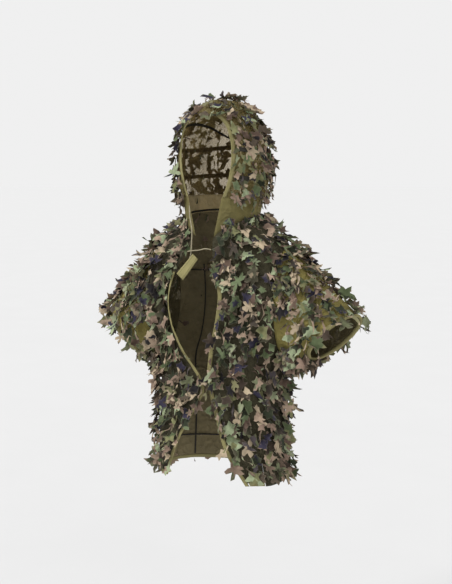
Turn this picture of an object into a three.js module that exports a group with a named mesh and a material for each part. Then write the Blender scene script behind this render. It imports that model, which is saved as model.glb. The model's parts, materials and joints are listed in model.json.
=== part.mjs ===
// Hooded leaf camouflage jacket, worn open, in millimetres with +Z up.
// The origin is the centre of the neck seam. The front faces -Y and the wearer's left is +X.
// Every cloth piece is a closed solid that follows one surface at its own distance and thickness.

import * as THREE from "three";

// ---- Driving dimensions ---------------------------------------------------------------------

const BODY_LENGTH = 720; // neck seam to hem
const CHEST_HALF_WIDTH = 180; // at the side seams, below the arms
const CHEST_HALF_DEPTH = 118;
const CHEST_BACK_TAPER = 6; // how far the back draws in at the yoke seam
const HEM_HALF_WIDTH = 186;
const HEM_HALF_DEPTH = 122;
const YOKE_DEPTH = 150; // neck seam to the seam across the chest and back
const NECK_HALF_WIDTH = 98;
const NECK_BACK_DEPTH = 90; // neck centre to the back of the neck seam
const FRONT_DEPTH = 118; // neck centre to the front edges at the neck
const FRONT_DROP = 52; // how far the neck seam falls towards the front edges

const ARMHOLE_X = 190;
const ARMHOLE_TOP = 85; // below the neck seam
const ARMHOLE_BOTTOM = 385;
const ARMHOLE_HALF_DEPTH = 95;
const SLEEVE_REACH = 170; // shoulder centre to cuff centre
const SLEEVE_START = { x: 200, z: -215 };
const SLEEVE_FORWARD = 20; // how far the cuff sits in front of the armhole
const CUFF_HALF_LENGTH = 85; // from the underarm side to the shoulder side of the cuff
const CUFF_HALF_DEPTH = 68; // from the front to the back of the cuff
const CUFF_TILT = THREE.MathUtils.degToRad(45);
const CUFF_TURN = 0.2; // share of the cuff's depth by which its front edge draws back
const LEFT_SLEEVE_DROP = THREE.MathUtils.degToRad(36); // below level
const RIGHT_SLEEVE_DROP = THREE.MathUtils.degToRad(52);

const BAND_HEIGHT = 48; // neck seam to the lower edge of the hood
const HOOD_HEIGHT = 302; // neck seam to the top of the hood
const HOOD_HALF_WIDTH = 103; // at its lower edge
const HOOD_FRONT = 112; // neck centre to the face opening
const HOOD_BACK = 128; // neck centre to the back of the hood
const HOOD_SIDE_BULGE = 24;
const CROWN_HALF_WIDTH = 37;
const CROWN_RISE = 7; // how far the middle of the crown stands above its seams
const FACE_HALF_WIDTH = 73;
const FACE_LOW_HALF_WIDTH = 50; // at the hood's lower edge
const FOREHEAD_HALF_WIDTH = 34; // at the crown's seams

const CLOTH = 1.6; // thickness of the base cloth
const LEAF_GAP = 5.6; // cloth middle to the underside of the leaf layer
const LEAF_LAYER = 16; // thickness of the leaf layer
const TAPE_WIDTH = 11; // edge binding
const TAPE = 3.2; // thickness of the edge binding
const ELASTIC_WIDTH = 12;
const ELASTIC = 1.2;
const ELASTIC_LIFT = 2.4; // cloth middle to the underside of an elastic band
const BACK_ELASTIC_HEIGHT = BODY_LENGTH * 0.22; // above the hem
const SEAM_GAP = 0.8; // half the gap between cloth pieces that meet
const FOLD_SEAM_GAP = 1.6; // the same along the line that a front turns back about
const TAPE_GAP = 2.4; // between a binding and the cloth that it edges
const LEAF_EDGE = 3; // from a seam or a hem to the leaf layer beside it
const YOKE_LEAF_EDGE = 13; // the same at the yoke's neck and front edges
const FRONT_LEAF_EDGE = 12; // the same at the front edges
const FRONT_LEAF_HEM = 5;
const HOOD_LEAF_EDGE = 4;
const SLEEVE_LEAF_EDGES = [4, 2, 1.5, 1.5]; // at the armhole, cuff, shoulder and underarm
const ARMHOLE_GAP = 20; // from the armhole to the leaf layers beside it
const FOLD_GAP = 21; // from a front's fold line to the leaf layers beside it
const TIE_DIAMETER = 3;
const DRAWCORD_DIAMETER = 3.5;
const KNOT_DIAMETER = 9;
const SNAP_RADIUS = 5;
const SNAP_HEIGHT = 2.4;
const SNAP_POST_RADIUS = 2.2;
const SNAP_POST = 0.4;
const SNAP_CLEARANCE = 1.2; // from the tape to the snap's post
const KNOT_GAP = 1.2; // from the drawcord's end to its knot

// ---- Materials ------------------------------------------------------------------------------

function cloth(color, roughness = 0.95) {
  return new THREE.MeshStandardMaterial({ color, roughness, metalness: 0 });
}

const baseCloth = cloth(0x6b6a42);
const bandCloth = cloth(0x7d784b);
const leafLayer = cloth(0x5c5644);
const bindingTape = cloth(0x8f8c5e);
const elasticBand = cloth(0x2f2c20, 0.85);
const cordMaterial = cloth(0x9c9270, 0.9);
const snapMetal = new THREE.MeshStandardMaterial({
  color: 0x33322c,
  roughness: 0.45,
  metalness: 0.8,
});

// ---- Curves and surfaces --------------------------------------------------------------------

const jacket = new THREE.Group();
const point = (x, y, z) => new THREE.Vector3(x, y, z);
const { lerp } = THREE.MathUtils;

/** A smooth curve through the points. */
function smooth(...points) {
  return new THREE.CatmullRomCurve3(points, false, "centripetal");
}

/** Curves joined end to end, for an edge that has corners. */
function chain(...curves) {
  const path = new THREE.CurvePath();
  curves.forEach((curve) => path.add(curve));
  return path;
}

/** A curve run the other way, as an edge for `between`. */
function reversed(curve) {
  return { getPointAt: (t) => curve.getPointAt(1 - t) };
}

/**
 * The surface between four edges. `low` and `high` run across it at v = 0 and v = 1, and `first`
 * and `last` run up it at u = 0 and u = 1. `rise` lifts the middle.
 */
function between(low, high, first, last, rise = point(0, 0, 0)) {
  const corners = [low.getPointAt(0), low.getPointAt(1), high.getPointAt(0), high.getPointAt(1)];
  return (u, v) => {
    const found = low.getPointAt(u).multiplyScalar(1 - v);
    found.addScaledVector(high.getPointAt(u), v);
    found.addScaledVector(first.getPointAt(v), 1 - u);
    found.addScaledVector(last.getPointAt(v), u);
    found.addScaledVector(corners[0], -(1 - u) * (1 - v));
    found.addScaledVector(corners[1], -u * (1 - v));
    found.addScaledVector(corners[2], -(1 - u) * v);
    found.addScaledVector(corners[3], -u * v);
    const middle = (1 - (2 * u - 1) ** 2) * (1 - (2 * v - 1) ** 2);
    return found.addScaledVector(rise, Math.max(middle, 0) ** 0.6);
  };
}

/** The surface's normal on the side that faces away from the body. */
function normalAt(surface, u, v, outside) {
  const step = 1e-3;
  const along = surface(Math.min(u + step, 1), v).sub(surface(Math.max(u - step, 0), v));
  const up = surface(u, Math.min(v + step, 1)).sub(surface(u, Math.max(v - step, 0)));
  return along.cross(up).normalize().multiplyScalar(outside);
}

/** How far a surface runs across (axis "u") or up (axis "v") at one place on the other axis. */
function runLength(surface, axis, other) {
  const steps = 10;
  let total = 0;
  for (let i = 0; i < steps; i += 1) {
    const ends = [i / steps, (i + 1) / steps];
    const [a, b] = ends.map((t) => (axis === "u" ? surface(t, other) : surface(other, t)));
    total += a.distanceTo(b);
  }
  return total;
}

/** A share of the run that lies `inset` millimetres in from its start, or from its end. */
function insetShare(inset, fromEnd, length) {
  const share = Math.min(Math.max(inset / length, 0), 1);
  return fromEnd ? 1 - share : share;
}

/**
 * One closed solid that follows `surface`, from `inner` to `outer` millimetres outside it.
 * `inset` gives the millimetres that it stays back from the edges u = 0, u = 1, v = 0 and v = 1;
 * one that changes along its edge is a function of v.
 */
function sheet(surface, { outside, inner, outer, inset, across, up }) {
  const box = matchDiagonals(new THREE.BoxGeometry(1, 1, 1, across, up, 1));
  const place = box.attributes.position;
  const [fromFirst, fromLast, fromLow, fromHigh] = inset.map(asFunction);
  for (let i = 0; i < place.count; i += 1) {
    const s = place.getX(i) + 0.5;
    const t = place.getY(i) + 0.5;
    let u = s;
    let v = t;
    for (let pass = 0; pass < 2; pass += 1) {
      const width = runLength(surface, "u", v);
      u = lerp(insetShare(fromFirst(v), false, width), insetShare(fromLast(v), true, width), s);
      const height = runLength(surface, "v", u);
      v = lerp(insetShare(fromLow(v), false, height), insetShare(fromHigh(v), true, height), t);
    }
    const offset = lerp(inner, outer, place.getZ(i) + 0.5);
    const found = surface(u, v).addScaledVector(normalAt(surface, u, v, outside), offset);
    place.setXYZ(i, found.x, found.y, found.z);
  }
  return facingOut(box);
}

/** Gives a box's back face the diagonals of its front, so that thin walls stay apart in a twist. */
function matchDiagonals(box) {
  const index = box.index.array;
  const { start, count } = box.groups[box.groups.length - 1];
  for (let i = start; i < start + count; i += 6) {
    const [a, b, d, , c] = index.slice(i, i + 5);
    index.set([a, b, c, a, c, d], i);
  }
  return box;
}

function asFunction(value) {
  return typeof value === "function" ? value : () => value;
}

/** The part of a surface that lies `from` to `to` millimetres in from its u = 0 or u = 1 edge. */
function edgeStrip(surface, isLast, from, to) {
  return (u, v) => {
    const inwards = lerp(from, to, u) / runLength(surface, "u", v);
    return surface(isLast ? 1 - inwards : inwards, v);
  };
}

/** The part of a surface that lies `from` to `to` millimetres above its v = 0 edge. */
function levelStrip(surface, from, to) {
  return (u, v) => surface(u, lerp(from, to, v) / runLength(surface, "v", u));
}

/** Turns the faces over if the moved corners left the solid inside out. */
function facingOut(geometry) {
  const index = geometry.index.array;
  const { position } = geometry.attributes;
  const corner = (i) => point(0, 0, 0).fromBufferAttribute(position, index[i]);
  let volume = 0;
  for (let i = 0; i < index.length; i += 3) {
    volume += corner(i).dot(corner(i + 1).cross(corner(i + 2)));
  }
  for (let i = 0; volume < 0 && i < index.length; i += 3) {
    [index[i], index[i + 1]] = [index[i + 1], index[i]];
  }
  geometry.computeVertexNormals();
  return geometry;
}

function addPiece(name, geometry, material) {
  const piece = new THREE.Mesh(geometry, material);
  piece.name = name;
  jacket.add(piece);
  return piece;
}

const edges = (gap) => [gap, gap, gap, gap];

function addCloth(name, surface, outside, across, up, inset = edges(SEAM_GAP)) {
  const layer = { outside, inner: -CLOTH / 2, outer: CLOTH / 2, inset, across, up };
  addPiece(name, sheet(surface, layer), baseCloth);
}

function addLeafLayer(name, surface, outside, across, up, inset) {
  const outer = LEAF_GAP + LEAF_LAYER;
  const layer = { outside, inner: LEAF_GAP, outer, inset, across, up };
  addPiece(name, sheet(surface, layer), leafLayer);
}

function addTape(name, strip, outside, across, up, inset = edges(SEAM_GAP)) {
  const layer = { outside, inner: -TAPE / 2, outer: TAPE / 2, inset, across, up };
  addPiece(name, sheet(strip, layer), bindingTape);
}

/** An elastic band between the cloth and the leaf layer, `height` above the surface's low edge. */
function addElastic(name, surface, outside, across, height, sides) {
  const strip = levelStrip(surface, height, height + ELASTIC_WIDTH);
  const outer = ELASTIC_LIFT + ELASTIC;
  const layer = { outside, inner: ELASTIC_LIFT, outer, inset: [...sides, 0, 0], across, up: 1 };
  addPiece(name, sheet(strip, layer), elasticBand);
}

// ---- The edges of the torso pieces ----------------------------------------------------------

const HEM_Z = -BODY_LENGTH;
const CHEST_Z = -YOKE_DEPTH;
const ARMHOLE_MIDDLE_Z = -(ARMHOLE_TOP + ARMHOLE_BOTTOM) / 2;
const ARMHOLE_HALF_HEIGHT = (ARMHOLE_BOTTOM - ARMHOLE_TOP) / 2;
const CHEST_ANGLE = Math.asin((CHEST_Z - ARMHOLE_MIDDLE_Z) / ARMHOLE_HALF_HEIGHT);

/** A place on the armhole. Angle 0 is its front or back, 90 degrees its top. */
function armholePoint(side, facing, angle) {
  const y = facing * ARMHOLE_HALF_DEPTH * Math.cos(angle);
  const z = ARMHOLE_MIDDLE_Z + ARMHOLE_HALF_HEIGHT * Math.sin(angle);
  return point(side * ARMHOLE_X, y, z);
}

/** From the hem up the side seam, then up the front or back of the armhole to the yoke. */
function sideEdge(side, facing) {
  const underarm = point(side * ARMHOLE_X, 0, -ARMHOLE_BOTTOM);
  const seam = smooth(
    point(side * HEM_HALF_WIDTH, 0, HEM_Z),
    point(side * CHEST_HALF_WIDTH, 0, lerp(HEM_Z, -ARMHOLE_BOTTOM, 0.6)),
    underarm,
  );
  const steps = 8;
  const armhole = [];
  for (let i = 0; i <= steps; i += 1) {
    const angle = lerp(-Math.PI / 2, CHEST_ANGLE, i / steps);
    armhole.push(armholePoint(side, facing, angle));
  }
  return chain(seam, smooth(...armhole));
}

/** A level curve from one place on the torso to another that starts or ends at the side. */
function levelCurve(from, to, roundness = 0.55) {
  const depth = to.y - from.y;
  const width = from.x - to.x;
  const startPull = point(from.x, from.y + depth * roundness, from.z);
  const endPull = point(to.x + width * roundness, to.y, to.z);
  return new THREE.CubicBezierCurve3(from, startPull, endPull, to);
}

/**
 * The two front edges, from the yoke seam to the hem, and the fold line that each front turns
 * back about. `down` is the share of the way from the yoke seam to the hem.
 */
const FRONTS = {
  left: {
    side: 1,
    fold: [point(78, -113, CHEST_Z), point(165, -80, HEM_Z)],
    neck: point(30, -FRONT_DEPTH, -FRONT_DROP),
    edge: [
      { x: 24, y: -121, down: 0 },
      { x: 44, y: -126, down: 0.08 },
      { x: 40, y: -130, down: 0.21 },
      { x: 20, y: -128, down: 0.37 },
      { x: 14, y: -125, down: 0.52 },
      { x: 40, y: -123, down: 0.7 },
      { x: 64, y: -122, down: 0.84 },
      { x: 118, y: -108, down: 1 },
    ],
  },
  right: {
    side: -1,
    fold: [point(-108, -116, CHEST_Z), point(-165, -80, HEM_Z)],
    neck: point(-26, -FRONT_DEPTH, -FRONT_DROP),
    edge: [
      { x: -78, y: -138, down: 0 },
      { x: -90, y: -150, down: 0.1 },
      { x: -84, y: -152, down: 0.22 },
      { x: -50, y: -142, down: 0.37 },
      { x: -10, y: -129, down: 0.48 },
      { x: 3, y: -125, down: 0.55 },
      { x: -12, y: -125, down: 0.61 },
      { x: -80, y: -122, down: 0.82 },
      { x: -124, y: -104, down: 1 },
    ],
  },
};

function edgePoints(front) {
  return front.edge.map(({ x, y, down }) => point(x, y, lerp(CHEST_Z, HEM_Z, down)));
}

function foldLine(front) {
  return new THREE.LineCurve3(front.fold[1], front.fold[0]);
}

// ---- Torso ----------------------------------------------------------------------------------

function backSurface(side) {
  const seamX = side * SEAM_GAP;
  const hem = levelCurve(point(side * HEM_HALF_WIDTH, 0, HEM_Z), point(seamX, HEM_HALF_DEPTH, HEM_Z));
  const chestEnd = point(seamX, CHEST_HALF_DEPTH - CHEST_BACK_TAPER, CHEST_Z);
  const chest = levelCurve(armholePoint(side, 1, CHEST_ANGLE), chestEnd);
  const middle = smooth(
    point(seamX, HEM_HALF_DEPTH, HEM_Z),
    point(seamX, CHEST_HALF_DEPTH, lerp(HEM_Z, CHEST_Z, 0.45)),
    point(seamX, CHEST_HALF_DEPTH, lerp(HEM_Z, CHEST_Z, 0.8)),
    chestEnd,
  );
  return between(hem, chest, sideEdge(side, 1), middle);
}

function sideSurface(front) {
  const { side } = front;
  const [foldTop, foldHem] = front.fold;
  const hem = levelCurve(point(side * HEM_HALF_WIDTH, 0, HEM_Z), foldHem);
  const chest = levelCurve(armholePoint(side, -1, CHEST_ANGLE), foldTop);
  return between(hem, chest, sideEdge(side, -1), foldLine(front));
}

function flapSurface(front) {
  const places = edgePoints(front);
  const [foldTop, foldHem] = front.fold;
  const hem = smooth(foldHem, places[places.length - 1]);
  const top = smooth(foldTop, places[0]);
  return between(hem, top, foldLine(front), smooth(...places.reverse()));
}

/** From a front edge at the neck round to the middle of the back. */
function neckSeam(front) {
  const { side, neck } = front;
  return smooth(
    neck,
    point(side * NECK_HALF_WIDTH * 0.64, -FRONT_DEPTH * 0.8, -FRONT_DROP * 0.52),
    point(side * NECK_HALF_WIDTH * 0.98, -FRONT_DEPTH * 0.2, -FRONT_DROP * 0.1),
    point(side * NECK_HALF_WIDTH * 0.9, NECK_BACK_DEPTH * 0.5, 0),
    point(side * NECK_HALF_WIDTH * 0.5, NECK_BACK_DEPTH * 0.92, 2),
    point(side * SEAM_GAP, NECK_BACK_DEPTH, 2),
  );
}

/** The saddle over one shoulder, from the chest seam over the top to the back seam. */
function yokeSurface(front) {
  const { side } = front;
  const edgeTop = edgePoints(front)[0];
  const backTop = point(side * SEAM_GAP, CHEST_HALF_DEPTH - CHEST_BACK_TAPER, CHEST_Z);
  const inner = chain(
    new THREE.LineCurve3(edgeTop, front.neck),
    neckSeam(front),
    new THREE.LineCurve3(point(side * SEAM_GAP, NECK_BACK_DEPTH, 2), backTop),
  );
  const steps = 10;
  const arch = [];
  for (let i = 0; i <= steps; i += 1) {
    const angle = lerp(CHEST_ANGLE, Math.PI - CHEST_ANGLE, i / steps);
    arch.push(armholePoint(side, -1, angle));
  }
  const frontChest = chain(
    new THREE.LineCurve3(edgeTop, front.fold[0]),
    smooth(...levelCurve(armholePoint(side, -1, CHEST_ANGLE), front.fold[0]).getPoints(8).reverse()),
  );
  const backChest = reversed(levelCurve(armholePoint(side, 1, CHEST_ANGLE), backTop));
  return between(frontChest, backChest, inner, smooth(...arch));
}

/** Leaf layers stay back from the armhole, and close up below it along the side seam. */
function besideArmhole(v) {
  const underarm = (BODY_LENGTH - ARMHOLE_BOTTOM) / (BODY_LENGTH - YOKE_DEPTH);
  return v > underarm - 0.1 ? ARMHOLE_GAP : LEAF_EDGE;
}

function addTorsoSide(name) {
  const front = FRONTS[name];
  const { side } = front;
  const back = backSurface(side);
  const flank = sideSurface(front);
  const yoke = yokeSurface(front);
  const underTape = TAPE_WIDTH + TAPE_GAP;

  addCloth(`back_panel_${name}`, back, side, 9, 8, [SEAM_GAP, SEAM_GAP, underTape, SEAM_GAP]);
  const backLeafInsets = [besideArmhole, LEAF_EDGE, LEAF_EDGE, LEAF_EDGE];
  addLeafLayer(`back_leaf_layer_${name}`, back, side, 9, 8, backLeafInsets);
  addTape(`back_hem_binding_${name}`, levelStrip(back, 0, TAPE_WIDTH), side, 9, 1);
  addElastic(`back_elastic_${name}`, back, side, 9, BACK_ELASTIC_HEIGHT, [LEAF_EDGE, LEAF_EDGE]);

  addCloth(`side_panel_${name}`, flank, -side, 5, 8, [SEAM_GAP, FOLD_SEAM_GAP, SEAM_GAP, SEAM_GAP]);
  const flankLeafInsets = [besideArmhole, FOLD_GAP, LEAF_EDGE, LEAF_EDGE];
  addLeafLayer(`side_leaf_layer_${name}`, flank, -side, 5, 8, flankLeafInsets);

  addCloth(`shoulder_yoke_${name}`, yoke, side, 6, 12);
  const yokeLeafInsets = [YOKE_LEAF_EDGE, LEAF_EDGE, LEAF_EDGE, LEAF_EDGE];
  addLeafLayer(`yoke_leaf_layer_${name}`, yoke, side, 6, 12, yokeLeafInsets);
}

// ---- Fronts ---------------------------------------------------------------------------------

/** One half of a press snap: a round cap with a short post under it. */
function snapGeometry() {
  const profile = [
    new THREE.Vector2(0, -SNAP_POST),
    new THREE.Vector2(SNAP_POST_RADIUS, -SNAP_POST),
    new THREE.Vector2(SNAP_POST_RADIUS, 0),
    new THREE.Vector2(SNAP_RADIUS, 0),
    new THREE.Vector2(SNAP_RADIUS, SNAP_HEIGHT * 0.6),
    new THREE.Vector2(SNAP_RADIUS * 0.7, SNAP_HEIGHT),
    new THREE.Vector2(0, SNAP_HEIGHT),
  ];
  return new THREE.LatheGeometry(profile, 16);
}

/** Sets a snap on a front's edge binding, `up` of the way from the hem to the yoke seam. */
function addSnap(name, surface, outside, up) {
  const width = runLength(surface, "u", up);
  const u = 1 - TAPE_WIDTH / 2 / width;
  const normal = normalAt(surface, u, up, outside);
  const piece = addPiece(name, snapGeometry(), snapMetal);
  const lift = TAPE / 2 + SNAP_POST + SNAP_CLEARANCE;
  piece.position.copy(surface(u, up).addScaledVector(normal, lift));
  piece.quaternion.setFromUnitVectors(point(0, 1, 0), normal);
}

const SNAP_HEIGHTS = { waist: 0.49, chest: 0.86 };

function addFront(name, snapName) {
  const front = FRONTS[name];
  const surface = flapSurface(front);
  const outside = -front.side;
  const underTape = TAPE_WIDTH + TAPE_GAP;
  const edgeTape = edgeStrip(surface, true, 0, TAPE_WIDTH);
  const hemTape = levelStrip(surface, 0, TAPE_WIDTH);

  const clothInsets = [FOLD_SEAM_GAP, underTape, underTape, SEAM_GAP];
  addCloth(`front_flap_${name}`, surface, outside, 3, 20, clothInsets);
  const leafInsets = [FOLD_GAP, FRONT_LEAF_EDGE, FRONT_LEAF_HEM, LEAF_EDGE];
  addLeafLayer(`flap_leaf_layer_${name}`, surface, outside, 3, 20, leafInsets);
  addTape(`front_binding_${name}`, edgeTape, outside, 1, 20, edges(0));
  addTape(`flap_hem_binding_${name}`, hemTape, outside, 4, 1, [FOLD_SEAM_GAP, underTape, 0, 0]);
  Object.entries(SNAP_HEIGHTS).forEach(([place, up]) => {
    addSnap(`${snapName}_${place}`, surface, outside, up);
  });
}

// ---- Sleeves --------------------------------------------------------------------------------

/** The whole sleeve from armhole (u = 0) to cuff (u = 1), from its top (v = 0) to its underarm. */
function sleeveSurface(side, facing, drop) {
  const startMiddle = point(side * (ARMHOLE_X + 2 * SEAM_GAP), 0, ARMHOLE_MIDDLE_Z);
  const startUp = point(0, 0, ARMHOLE_HALF_HEIGHT);
  const startOut = point(0, facing * ARMHOLE_HALF_DEPTH, 0);
  const cuffMiddle = point(
    side * (SLEEVE_START.x + SLEEVE_REACH * Math.cos(drop)),
    -SLEEVE_FORWARD,
    SLEEVE_START.z - SLEEVE_REACH * Math.sin(drop),
  );
  const cuffUp = point(side * Math.sin(CUFF_TILT), 0, Math.cos(CUFF_TILT));
  cuffUp.multiplyScalar(CUFF_HALF_LENGTH);
  const cuffOut = point(side * facing * CUFF_TURN, facing, -facing * CUFF_TURN);
  cuffOut.normalize().multiplyScalar(CUFF_HALF_DEPTH);
  return (u, v) => {
    const angle = lerp(Math.PI / 2, -Math.PI / 2, v);
    const found = startMiddle.clone().lerp(cuffMiddle, u);
    found.addScaledVector(startUp.clone().lerp(cuffUp, u), Math.sin(angle));
    return found.addScaledVector(startOut.clone().lerp(cuffOut, u), Math.cos(angle));
  };
}

/** Where the soft armhole cloth ends and the sleeve begins, as a share of the sleeve's length. */
function gussetEnd(v) {
  return lerp(0.34, 0.72, 0.5 - 0.5 * Math.cos(Math.PI * v));
}

function addSleeveHalf(name, half, side, facing, drop) {
  const whole = sleeveSurface(side, facing, drop);
  const outside = -side * facing;
  const gusset = (u, v) => whole(lerp(0, gussetEnd(v), u), v);
  const sleeve = (u, v) => whole(lerp(gussetEnd(v), 1, u), v);
  addCloth(`armhole_${half}_${name}`, gusset, outside, 3, 10);
  const insets = [SEAM_GAP, TAPE_WIDTH + TAPE_GAP, SEAM_GAP, SEAM_GAP];
  addCloth(`sleeve_${half}_${name}`, sleeve, outside, 3, 10, insets);
  addLeafLayer(`sleeve_leaf_layer_${half}_${name}`, sleeve, outside, 3, 10, SLEEVE_LEAF_EDGES);
}

/** The tape round a cuff: one closed ring that follows the sleeve's front and back halves. */
function cuffBinding(side, drop) {
  const faces = { front: sleeveSurface(side, -1, drop), back: sleeveSurface(side, 1, drop) };
  const around = 28;
  const ring = new THREE.TorusGeometry(1, 0.5, 4, around);
  const place = ring.attributes.position;
  for (let i = 0; i < place.count; i += 1) {
    const turn = ((i % (around + 1)) / around) * Math.PI * 2;
    const corner = Math.floor(i / (around + 1)) % 4;
    const isFront = Math.cos(turn) <= 0;
    const surface = isFront ? faces.front : faces.back;
    const v = 0.5 - Math.asin(Math.sin(turn)) / Math.PI;
    const width = runLength(surface, "u", v);
    const u = corner === 0 || corner === 3 ? 1 : 1 - TAPE_WIDTH / width;
    const outward = normalAt(surface, u, v, -side * (isFront ? -1 : 1));
    const offset = corner === 0 || corner === 1 ? TAPE / 2 : -TAPE / 2;
    const found = surface(u, v).addScaledVector(outward, offset);
    place.setXYZ(i, found.x, found.y, found.z);
  }
  return facingOut(ring);
}

function addSleeve(name, side, drop) {
  addSleeveHalf(name, "front", side, -1, drop);
  addSleeveHalf(name, "back", side, 1, drop);
  addPiece(`cuff_binding_${name}`, cuffBinding(side, drop), bindingTape);
}

// ---- Hood -----------------------------------------------------------------------------------

// Each elastic's height above the hood's lower edge.
const HOOD_ELASTICS = [
  ["lower", 50],
  ["upper", 128],
];

/** The places that the hood's pieces share, on one side. */
function hoodPlaces(side) {
  const rise = (share) => lerp(BAND_HEIGHT, HOOD_HEIGHT, share);
  const crown = side * CROWN_HALF_WIDTH;
  return {
    faceLow: point(side * FACE_LOW_HALF_WIDTH, -HOOD_FRONT, BAND_HEIGHT),
    forehead: point(side * FOREHEAD_HALF_WIDTH, -HOOD_FRONT - 2, rise(0.84)),
    crownBack: point(crown, HOOD_BACK * 0.81, rise(0.8)),
    nape: point(crown, HOOD_BACK * 0.82, BAND_HEIGHT + 2),
    rise,
    crown,
  };
}

function hoodLowerEdge(side) {
  const { faceLow, nape } = hoodPlaces(side);
  return smooth(
    faceLow,
    point(side * HOOD_HALF_WIDTH * 0.88, -HOOD_FRONT * 0.62, BAND_HEIGHT),
    point(side * HOOD_HALF_WIDTH, 0, BAND_HEIGHT),
    point(side * HOOD_HALF_WIDTH * 0.82, HOOD_BACK * 0.56, BAND_HEIGHT + 1),
    nape,
  );
}

function crownTop(side) {
  const { forehead, crownBack, crown } = hoodPlaces(side);
  return smooth(
    forehead,
    point(crown, -HOOD_FRONT * 0.54, HOOD_HEIGHT - 10),
    point(crown, 0, HOOD_HEIGHT),
    point(crown, HOOD_BACK * 0.45, HOOD_HEIGHT - 14),
    crownBack,
  );
}

function crownDown(side) {
  const { crownBack, nape, rise, crown } = hoodPlaces(side);
  return smooth(
    nape,
    point(crown, HOOD_BACK * 0.97, rise(0.28)),
    point(crown, HOOD_BACK, rise(0.55)),
    crownBack,
  );
}

function faceEdge(side) {
  const { faceLow, forehead, rise } = hoodPlaces(side);
  return smooth(
    faceLow,
    point(side * FACE_HALF_WIDTH * 0.9, -HOOD_FRONT + 4, rise(0.2)),
    point(side * FACE_HALF_WIDTH, -HOOD_FRONT + 6, rise(0.42)),
    point(side * FACE_HALF_WIDTH * 0.94, -HOOD_FRONT + 5, rise(0.62)),
    point(side * FACE_HALF_WIDTH * 0.72, -HOOD_FRONT + 1, rise(0.77)),
    forehead,
  );
}

function hoodSideSurface(side) {
  const bulge = point(side * HOOD_SIDE_BULGE, 0, 0);
  return between(hoodLowerEdge(side), crownTop(side), faceEdge(side), crownDown(side), bulge);
}

/** The strip over the middle of the hood, from the forehead (v = 0) to the nape (v = 1). */
function crownSurface() {
  const seam = (side) => chain(crownTop(side), reverseCurve(crownDown(side)));
  const forehead = hoodPlaces(1).forehead;
  const nape = hoodPlaces(1).nape;
  const low = smooth(
    point(-forehead.x, forehead.y, forehead.z),
    point(0, forehead.y - 2, forehead.z + CROWN_RISE),
    forehead,
  );
  const high = smooth(point(-nape.x, nape.y, nape.z), point(0, nape.y + CROWN_RISE, nape.z), nape);
  return between(low, high, seam(-1), seam(1));
}

/** A smooth curve run the other way, that `chain` can join. */
function reverseCurve(curve) {
  return smooth(...curve.getPoints(10).reverse());
}

/** The bare band between the neck seam (v = 0) and the hood (v = 1). */
function bandSurface(front) {
  const { side } = front;
  const { faceLow } = hoodPlaces(side);
  const backOfHood = point(side * SEAM_GAP, HOOD_BACK * 0.82 + CROWN_RISE, BAND_HEIGHT + 2);
  const high = chain(
    hoodLowerEdge(side),
    new THREE.LineCurve3(hoodPlaces(side).nape, backOfHood),
  );
  const frontEdge = new THREE.LineCurve3(front.neck, faceLow);
  const backEdge = new THREE.LineCurve3(point(side * SEAM_GAP, NECK_BACK_DEPTH, 2), backOfHood);
  return between(neckSeam(front), high, frontEdge, backEdge);
}

function addHoodSide(name) {
  const front = FRONTS[name];
  const { side } = front;
  const surface = hoodSideSurface(side);
  const insets = [TAPE_WIDTH + TAPE_GAP, SEAM_GAP, SEAM_GAP, SEAM_GAP];
  addCloth(`hood_side_${name}`, surface, side, 7, 7, insets);
  const besideTape = TAPE_WIDTH + LEAF_EDGE;
  const leafInsets = [besideTape, HOOD_LEAF_EDGE, HOOD_LEAF_EDGE, HOOD_LEAF_EDGE];
  addLeafLayer(`hood_leaf_layer_${name}`, surface, side, 7, 7, leafInsets);
  addTape(`face_binding_${name}`, edgeStrip(surface, false, 0, TAPE_WIDTH), side, 1, 7);
  HOOD_ELASTICS.forEach(([place, height]) => {
    const elasticName = `hood_elastic_${place}_${name}`;
    addElastic(elasticName, surface, side, 7, height, [besideTape, LEAF_EDGE]);
  });
  const band = { outside: side, inner: -CLOTH / 2, outer: CLOTH / 2, inset: edges(SEAM_GAP) };
  addPiece(`neck_band_${name}`, sheet(bandSurface(front), { ...band, across: 10, up: 2 }), bandCloth);
}

function addCrown() {
  const surface = crownSurface();
  addCloth("hood_crown", surface, -1, 4, 12);
  const leafInsets = [LEAF_EDGE, LEAF_EDGE, LEAF_EDGE, HOOD_LEAF_EDGE];
  addLeafLayer("hood_leaf_layer_crown", surface, -1, 4, 12, leafInsets);
}

// ---- Cords ----------------------------------------------------------------------------------

/** A cord with a round section along a curve through the points. */
function cordGeometry(points, diameter, steps) {
  const section = new THREE.Shape();
  section.absarc(0, 0, diameter / 2, 0, Math.PI * 2);
  return new THREE.ExtrudeGeometry(section, {
    extrudePath: smooth(...points),
    steps,
    curveSegments: 8,
    bevelEnabled: false,
  });
}

const NECK_TIE_ROUTE = [
  point(34, -143, -86),
  point(18, -146, -84),
  point(2, -148, -88),
  point(-16, -148, -90),
  point(-34, -146, -93),
];

const DRAWCORD_ROUTE = [
  point(-44, -117, 26),
  point(-38, -126, 0),
  point(-28, -134, -34),
  point(-25, -140, -66),
  point(-27, -142, -104),
];

function addCords() {
  addPiece("neck_tie_cord", cordGeometry(NECK_TIE_ROUTE, TIE_DIAMETER, 10), cordMaterial);
  addPiece("hood_drawcord", cordGeometry(DRAWCORD_ROUTE, DRAWCORD_DIAMETER, 14), cordMaterial);
  const knot = new THREE.SphereGeometry(KNOT_DIAMETER / 2, 10, 8);
  const end = DRAWCORD_ROUTE[DRAWCORD_ROUTE.length - 1];
  const piece = addPiece("drawcord_knot", knot, cordMaterial);
  piece.position.set(end.x, end.y, end.z - KNOT_DIAMETER / 2 - KNOT_GAP);
}

// ---- The jacket -----------------------------------------------------------------------------

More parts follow.
